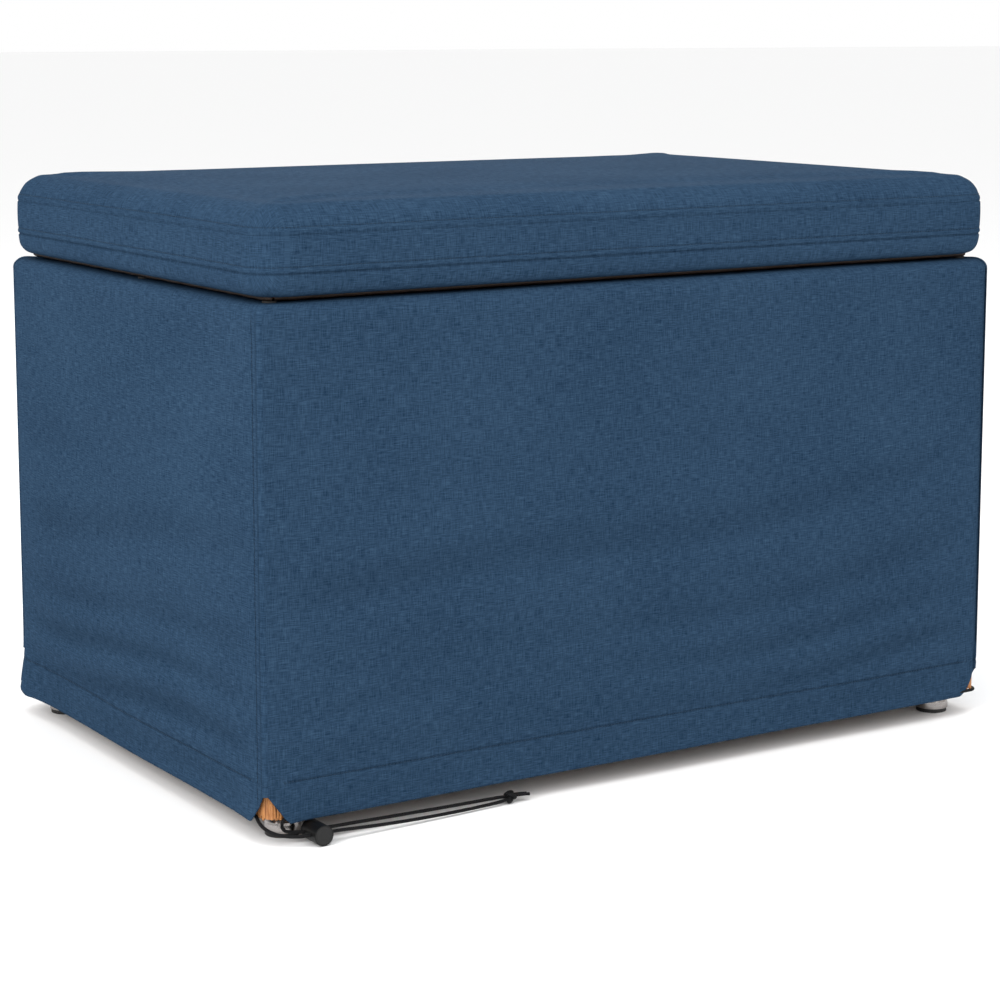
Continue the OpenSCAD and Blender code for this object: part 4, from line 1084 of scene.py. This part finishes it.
coil_low, coil_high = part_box("zip_coil")
rib_x = np.arange(coil_low.x + 0.0006, coil_high.x, 0.0012)
ones = np.ones((len(rib_x), 1))
rib_at = np.column_stack([rib_x, ones * coil_low.y, ones * (coil_low.z + coil_high.z) / 2])
upright, backward = ones * [0.0, 0.0, 1.0], ones * [0.0, 1.0, 0.0]
coil_ribs = piece_from_parts("zip_ribs", [
    bridges(rib_at, upright, backward, coil_high.z - coil_low.z, 0.00042, 0.0004, 0.0001)
])
paint(coil_ribs, finishes["zip_nylon"])
for piece, node, part in ((tape, "zip_tape", "zip_nylon"), (coil_ribs, "zip_coil", "zip_nylon")):
    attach(piece, "lid")
    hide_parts(node)
print("zip ribs:", len(rib_x))

# %% [markdown]
# ## The lining
# Inside, the box is lined with plain cloth from the floor board to the rim. It hangs almost flat, so it
# is one band round the inside with a slow wave and a few soft folds near its foot.

# %% Lining
lining_low, lining_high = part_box("lining")
lining_x, lining_y, lining_out, *_ = rounded_outline(
    lining_high.x - 0.0008, lining_high.y - 0.0008, 0.006, (90, 60, 90, 60), 5
)
lining_z = np.linspace(lining_low.z + 0.0002, lining_high.z - 0.0002, 70)[:, None]
lining_run = np.concatenate([[0], np.cumsum(np.hypot(np.diff(lining_x), np.diff(lining_y)))])
hang = 0.0004 * np.sin(lining_run * 31 + 4 * np.sin(lining_z * 9)) * np.exp(-((lining_z - 0.09) / 0.09) ** 2)
hang = hang + 0.0003 * np.sin(lining_run * 9 + lining_z * 6)
lining_points = np.stack(np.broadcast_arrays(
    lining_x + hang * lining_out[:, 0], lining_y + hang * lining_out[:, 1], lining_z
), -1)
lining_uv = np.stack(np.broadcast_arrays(lining_run, lining_z), -1)
lining_faces = grid_faces(len(lining_z), len(lining_run), wrap=True)
inside = mesh_piece("lining_cloth", lining_points.reshape(-1, 3), lining_faces, lining_uv.reshape(-1, 2))
thicken(inside, 0.0007, offset=0)
paint(inside, lining_cloth)
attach(inside, "box")
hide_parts("lining")
print("lining:", round(float(lining_run[-1]), 3), "m round")

# %% [markdown]
# ## Woven cane
# The lid's board is a flat weave of cane strips, seen from below when the lid is up. Each strip goes over
# one crossing and under the next, so its height is a cosine along it, and neighbouring strips are half a
# wave apart. A round strand of cane binds the edge. Its near-black colour is painted shade for the shaded
# gap between the cover and the cushion, where it shows. Each corner post is wrapped in upright strands
# whose ends, under the frame, are cut unevenly.

# %% Weave the lid's board
def ribbons(lines, up, width, thick):
    """Closed flat bars along many lines at once. lines is strips by points by 3, up the way each faces.

    A ring of eight points goes round each point of a line: a rectangle width by thick with cut corners."""
    along = unit(np.gradient(lines, axis=1))
    up = unit(np.broadcast_to(up, lines.shape))
    side = unit(np.cross(along, up))
    up = np.cross(side, along)
    w = np.array([1, 0.72, -0.72, -1, -1, -0.72, 0.72, 1]) * width / 2
    h = np.array([0.45, 1, 1, 0.45, -0.45, -1, -1, -0.45]) * thick / 2
    points = lines[:, :, None] + side[:, :, None] * w[:, None] + up[:, :, None] * h[:, None]
    strips, steps = lines.shape[:2]
    run = np.cumsum(np.linalg.norm(np.diff(lines, axis=1, prepend=lines[:, :1]), axis=2), axis=1)
    girth = np.array([0, 0.3, 1.7, 2, 2.4, 2.7, 4.1, 4.4]) * width / 2
    shift = np.arange(strips)[:, None, None] * 0.37
    uv = np.stack(np.broadcast_arrays(run[:, :, None] + shift, girth + 3 * shift), -1).reshape(-1, 2)
    body = grid_faces(steps, 8, wrap=True)
    start = np.arange(8)
    ends = np.array([start, (steps - 1) * 8 + start[::-1]])
    base = (np.arange(strips) * steps * 8)[:, None, None]
    faces = (body + base).reshape(-1, 4).tolist() + (ends + base).reshape(-1, 8).tolist()
    return points.reshape(-1, 3), faces, uv


weave_low, weave_high = (np.array(corner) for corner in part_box("lid_weave"))
weave_mid = (weave_low[2] + weave_high[2]) / 2
weave_low[:2], weave_high[:2] = weave_low[:2] + 0.004, weave_high[:2] - 0.004
pitch_x, pitch_y = (weave_high[:2] - weave_low[:2]) / [64, 42]
strip_x = weave_low[0] + pitch_x * (np.arange(64) + 0.5)
strip_y = weave_low[1] + pitch_y * (np.arange(42) + 0.5)


def strips_along(axis, places, low, high, pitch):
    """Strips at the given places across; height is swing times cos(pi x / pitch), turned for each next one."""
    steps = int(round((high - low) / pitch)) * 3 + 1
    run = np.linspace(low, high, steps)
    phase = np.pi * ((run - low) / pitch - 0.5)[None, :] + np.pi * (np.arange(len(places)) + axis)[:, None]
    lines = np.zeros((len(places), steps, 3))
    lines[:, :, axis] = run
    lines[:, :, 1 - axis] = places[:, None]
    lines[:, :, 2] = weave_mid + 0.0011 * np.cos(phase)
    return lines


across_lid = strips_along(0, strip_y, weave_low[0], weave_high[0], pitch_x)
along_lid = strips_along(1, strip_x, weave_low[1], weave_high[1], pitch_y)
edge_half = weave_high[:2] + 0.0011
edge_x, edge_y, *_ = rounded_outline(*edge_half, 0.005, (60, 40, 60, 40), 6)
edge_line = np.column_stack([edge_x, edge_y, weave_mid + 0.0002 * np.sin(np.arange(len(edge_x)) * 2.1)])
edge_points, edge_faces, edge_uv = tube(edge_line, 0.0028, sides=10, closed=True)
lid_board = piece_from_parts("lid_cane", [
    ribbons(across_lid, [0, 0, 1.0], 0.86 * pitch_y, 0.0018),
    ribbons(along_lid, [0, 0, 1.0], 0.86 * pitch_x, 0.0018),
])
lid_binding = piece_from_parts("lid_binding", [(edge_points, edge_faces, edge_uv[:, ::-1])])
paint(lid_board, honey_cane)
paint(lid_binding, gap_shade_cane)
for piece in (lid_board, lid_binding):
    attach(piece, "lid")
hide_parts("lid_weave")
print("lid cane faces:", len(lid_board.data.polygons))

# %% [markdown]
# The strands round a post follow one path seen from above: a straight leg, a quarter circle round the
# post and another leg. Each strand then runs straight up, with a slight wobble of its own.

# %% Wrap the corner posts
wrap_low, wrap_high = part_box("corner_wraps")
wrap_inset = half_w - wrap_high.x + 0.0008
bend_at = 0.012 - wrap_inset
leg = np.linspace(0.027, 0.0125, 7)[:-1]
quarter = np.radians(np.linspace(0, 90, 6))
leg_out = np.column_stack([leg, np.full(6, wrap_inset), np.zeros(6), np.full(6, -1.0)])
bend_out = np.column_stack([
    0.012 - bend_at * np.sin(quarter), 0.012 - bend_at * np.cos(quarter), -np.sin(quarter), -np.cos(quarter)
])
one_corner = np.vstack([leg_out, bend_out, leg_out[::-1][:, [1, 0, 3, 2]]])
mirrors = np.array([(1, 1), (-1, 1), (1, -1), (-1, -1)])
strand_at = np.concatenate([one_corner * [sx, sy, sx, sy] for sx, sy in mirrors])
strand_at[:, :2] += np.repeat(-mirrors * [half_w, half_d], len(one_corner), axis=0)
count = np.arange(len(strand_at))
foot_cut = wrap_low.z + 0.0022 * (0.5 + 0.5 * np.sin(count * 2.7)) + 0.0012 * (count % 3 == 0)
climb_steps = np.concatenate([np.linspace(0, 0.07, 9), np.linspace(0.07, 1, 14)[1:]])
strand_z = foot_cut[:, None] + (wrap_high.z - 0.0005 - foot_cut)[:, None] * climb_steps
wobble = 0.00022 * np.sin(strand_z * 90 + count[:, None] * 1.7)
strand_lines = np.stack([
    strand_at[:, :1] + wobble * strand_at[:, 3:4], strand_at[:, 1:2] - wobble * strand_at[:, 2:3], strand_z
], -1)
facing = np.column_stack([strand_at[:, 2:4], np.zeros(len(count))])[:, None]
post_cane = piece_from_parts("corner_cane", [ribbons(strand_lines, facing, 0.0024, 0.0015)])
paint(post_cane, honey_cane)
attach(post_cane, "box")
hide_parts("corner_wraps")
print("corner strands:", len(count))

# %% [markdown]
# ## Drawcord, knot and lock
# The rest of the drawcord runs round inside the hem and shows only where the hem rises at a corner. The
# knot is an overhand knot: its centreline is the trefoil, x = sin t + 2 sin 2t and y = cos t - 2 cos 2t
# with z = -sin 3t, stretched along the cord. Its two short tails lie side by side.

# %% Cord in the hem and the knot
cord_in, cord_bend = 0.0024, 0.0096
cord_z = (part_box("drawcord")[0].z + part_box("drawcord")[1].z) / 2
loop_x, loop_y = half_w - cord_in, half_d - cord_in
turns = np.radians([-90, 0, 90])[:, None] + np.radians(np.linspace(0, 90, 10))[None]
bend_x, bend_y = loop_x - cord_bend, loop_y - cord_bend
centres = np.array([(bend_x, -bend_y), (bend_x, bend_y), (-bend_x, bend_y)])
bends = centres[:, None] + cord_bend * np.stack([np.cos(turns), np.sin(turns)], -1)
hem_path = np.vstack([[-half_w + 0.027, -loop_y], bends.reshape(-1, 2), [-loop_x, -half_d + 0.027]])
hem_path = np.column_stack([hem_path, np.full(len(hem_path), cord_z)])
hem_cord = piece_from_parts("hem_cord", [tube(hem_path, cord_d / 2)])

t = np.linspace(0, 2 * np.pi, 90, endpoint=False)
trefoil = np.stack([-1.9 * np.sin(3 * t), np.sin(t) + 2 * np.sin(2 * t), np.cos(t) - 2 * np.cos(2 * t)], -1)
knot_at = front_left + np.array([241, -1.5, 6.4]) * MM
tail_route = np.array([(0, 0.2, 0), (4, 0.2, 0.2), (9, -0.2, 0.3), (14, -0.7, 0.1), (19.5, -1.3, -0.3)]) * MM
short_route = tail_route * [0.93, 1, 1] + np.array([0, 3.1, 0]) * MM
knot = piece_from_parts("knot", [
    tube(0.00158 * trefoil + knot_at, cord_d / 2, closed=True),
    tube(smooth_curve(tail_route, 6) + knot_at, cord_d / 2 * 0.95),
    tube(smooth_curve(short_route, 6) + knot_at, cord_d / 2 * 0.95),
])
for piece, node in ((hem_cord, "drawcord"), (knot, "cord_knot")):
    paint(piece, cord_black)
    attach(piece, "box")
    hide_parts(node)

# %% [markdown]
# The lock's button is a cap with a rounded rim and a shallow dish for the thumb. It is turned on a lathe:
# the outline goes from the middle of the dish, over the rim and a little way down the side.

# %% Lock button
def lathe(outline, centre, sides=48):
    """Surface of an outline of (radius, y) turned round the Y axis through the centre, facing -Y."""
    angle = np.linspace(0, 2 * np.pi, sides, endpoint=False)
    r, y = outline[1:, 0, None], outline[1:, 1, None]
    points = np.stack(np.broadcast_arrays(r * np.cos(angle), y, r * np.sin(angle)), -1).reshape(-1, 3)
    points = np.vstack([points, [[0, outline[0, 1], 0]]]) + centre
    fan = [(len(points) - 1, i, (i + 1) % sides) for i in range(sides)]
    faces = fan + grid_faces(len(outline) - 1, sides, wrap=True)[:, ::-1].tolist()
    return points, faces, points[:, [0, 2]]


button_low, button_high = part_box("cord_lock_plunger")
button_r = (button_high.x - button_low.x) / 2
button_at = np.array([(button_low.x + button_high.x) / 2, button_low.y, (button_low.z + button_high.z) / 2])
button_outline = np.array([
    (0, 0.10), (0.3, 0.09), (0.55, 0.05), (0.68, 0.0), (0.76, -0.05), (0.84, -0.05), (0.90, 0.0), (0.94, 0.10),
    (0.945, 0.25),
]) * [button_r, 0.0035]
button = piece_from_parts("lock_button", [lathe(button_outline, button_at - [0, 0.0001, 0])])
paint(button, finishes["plunger_plastic"])
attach(button, "cord_lock_plunger")
print("button radius", round(button_r, 4))
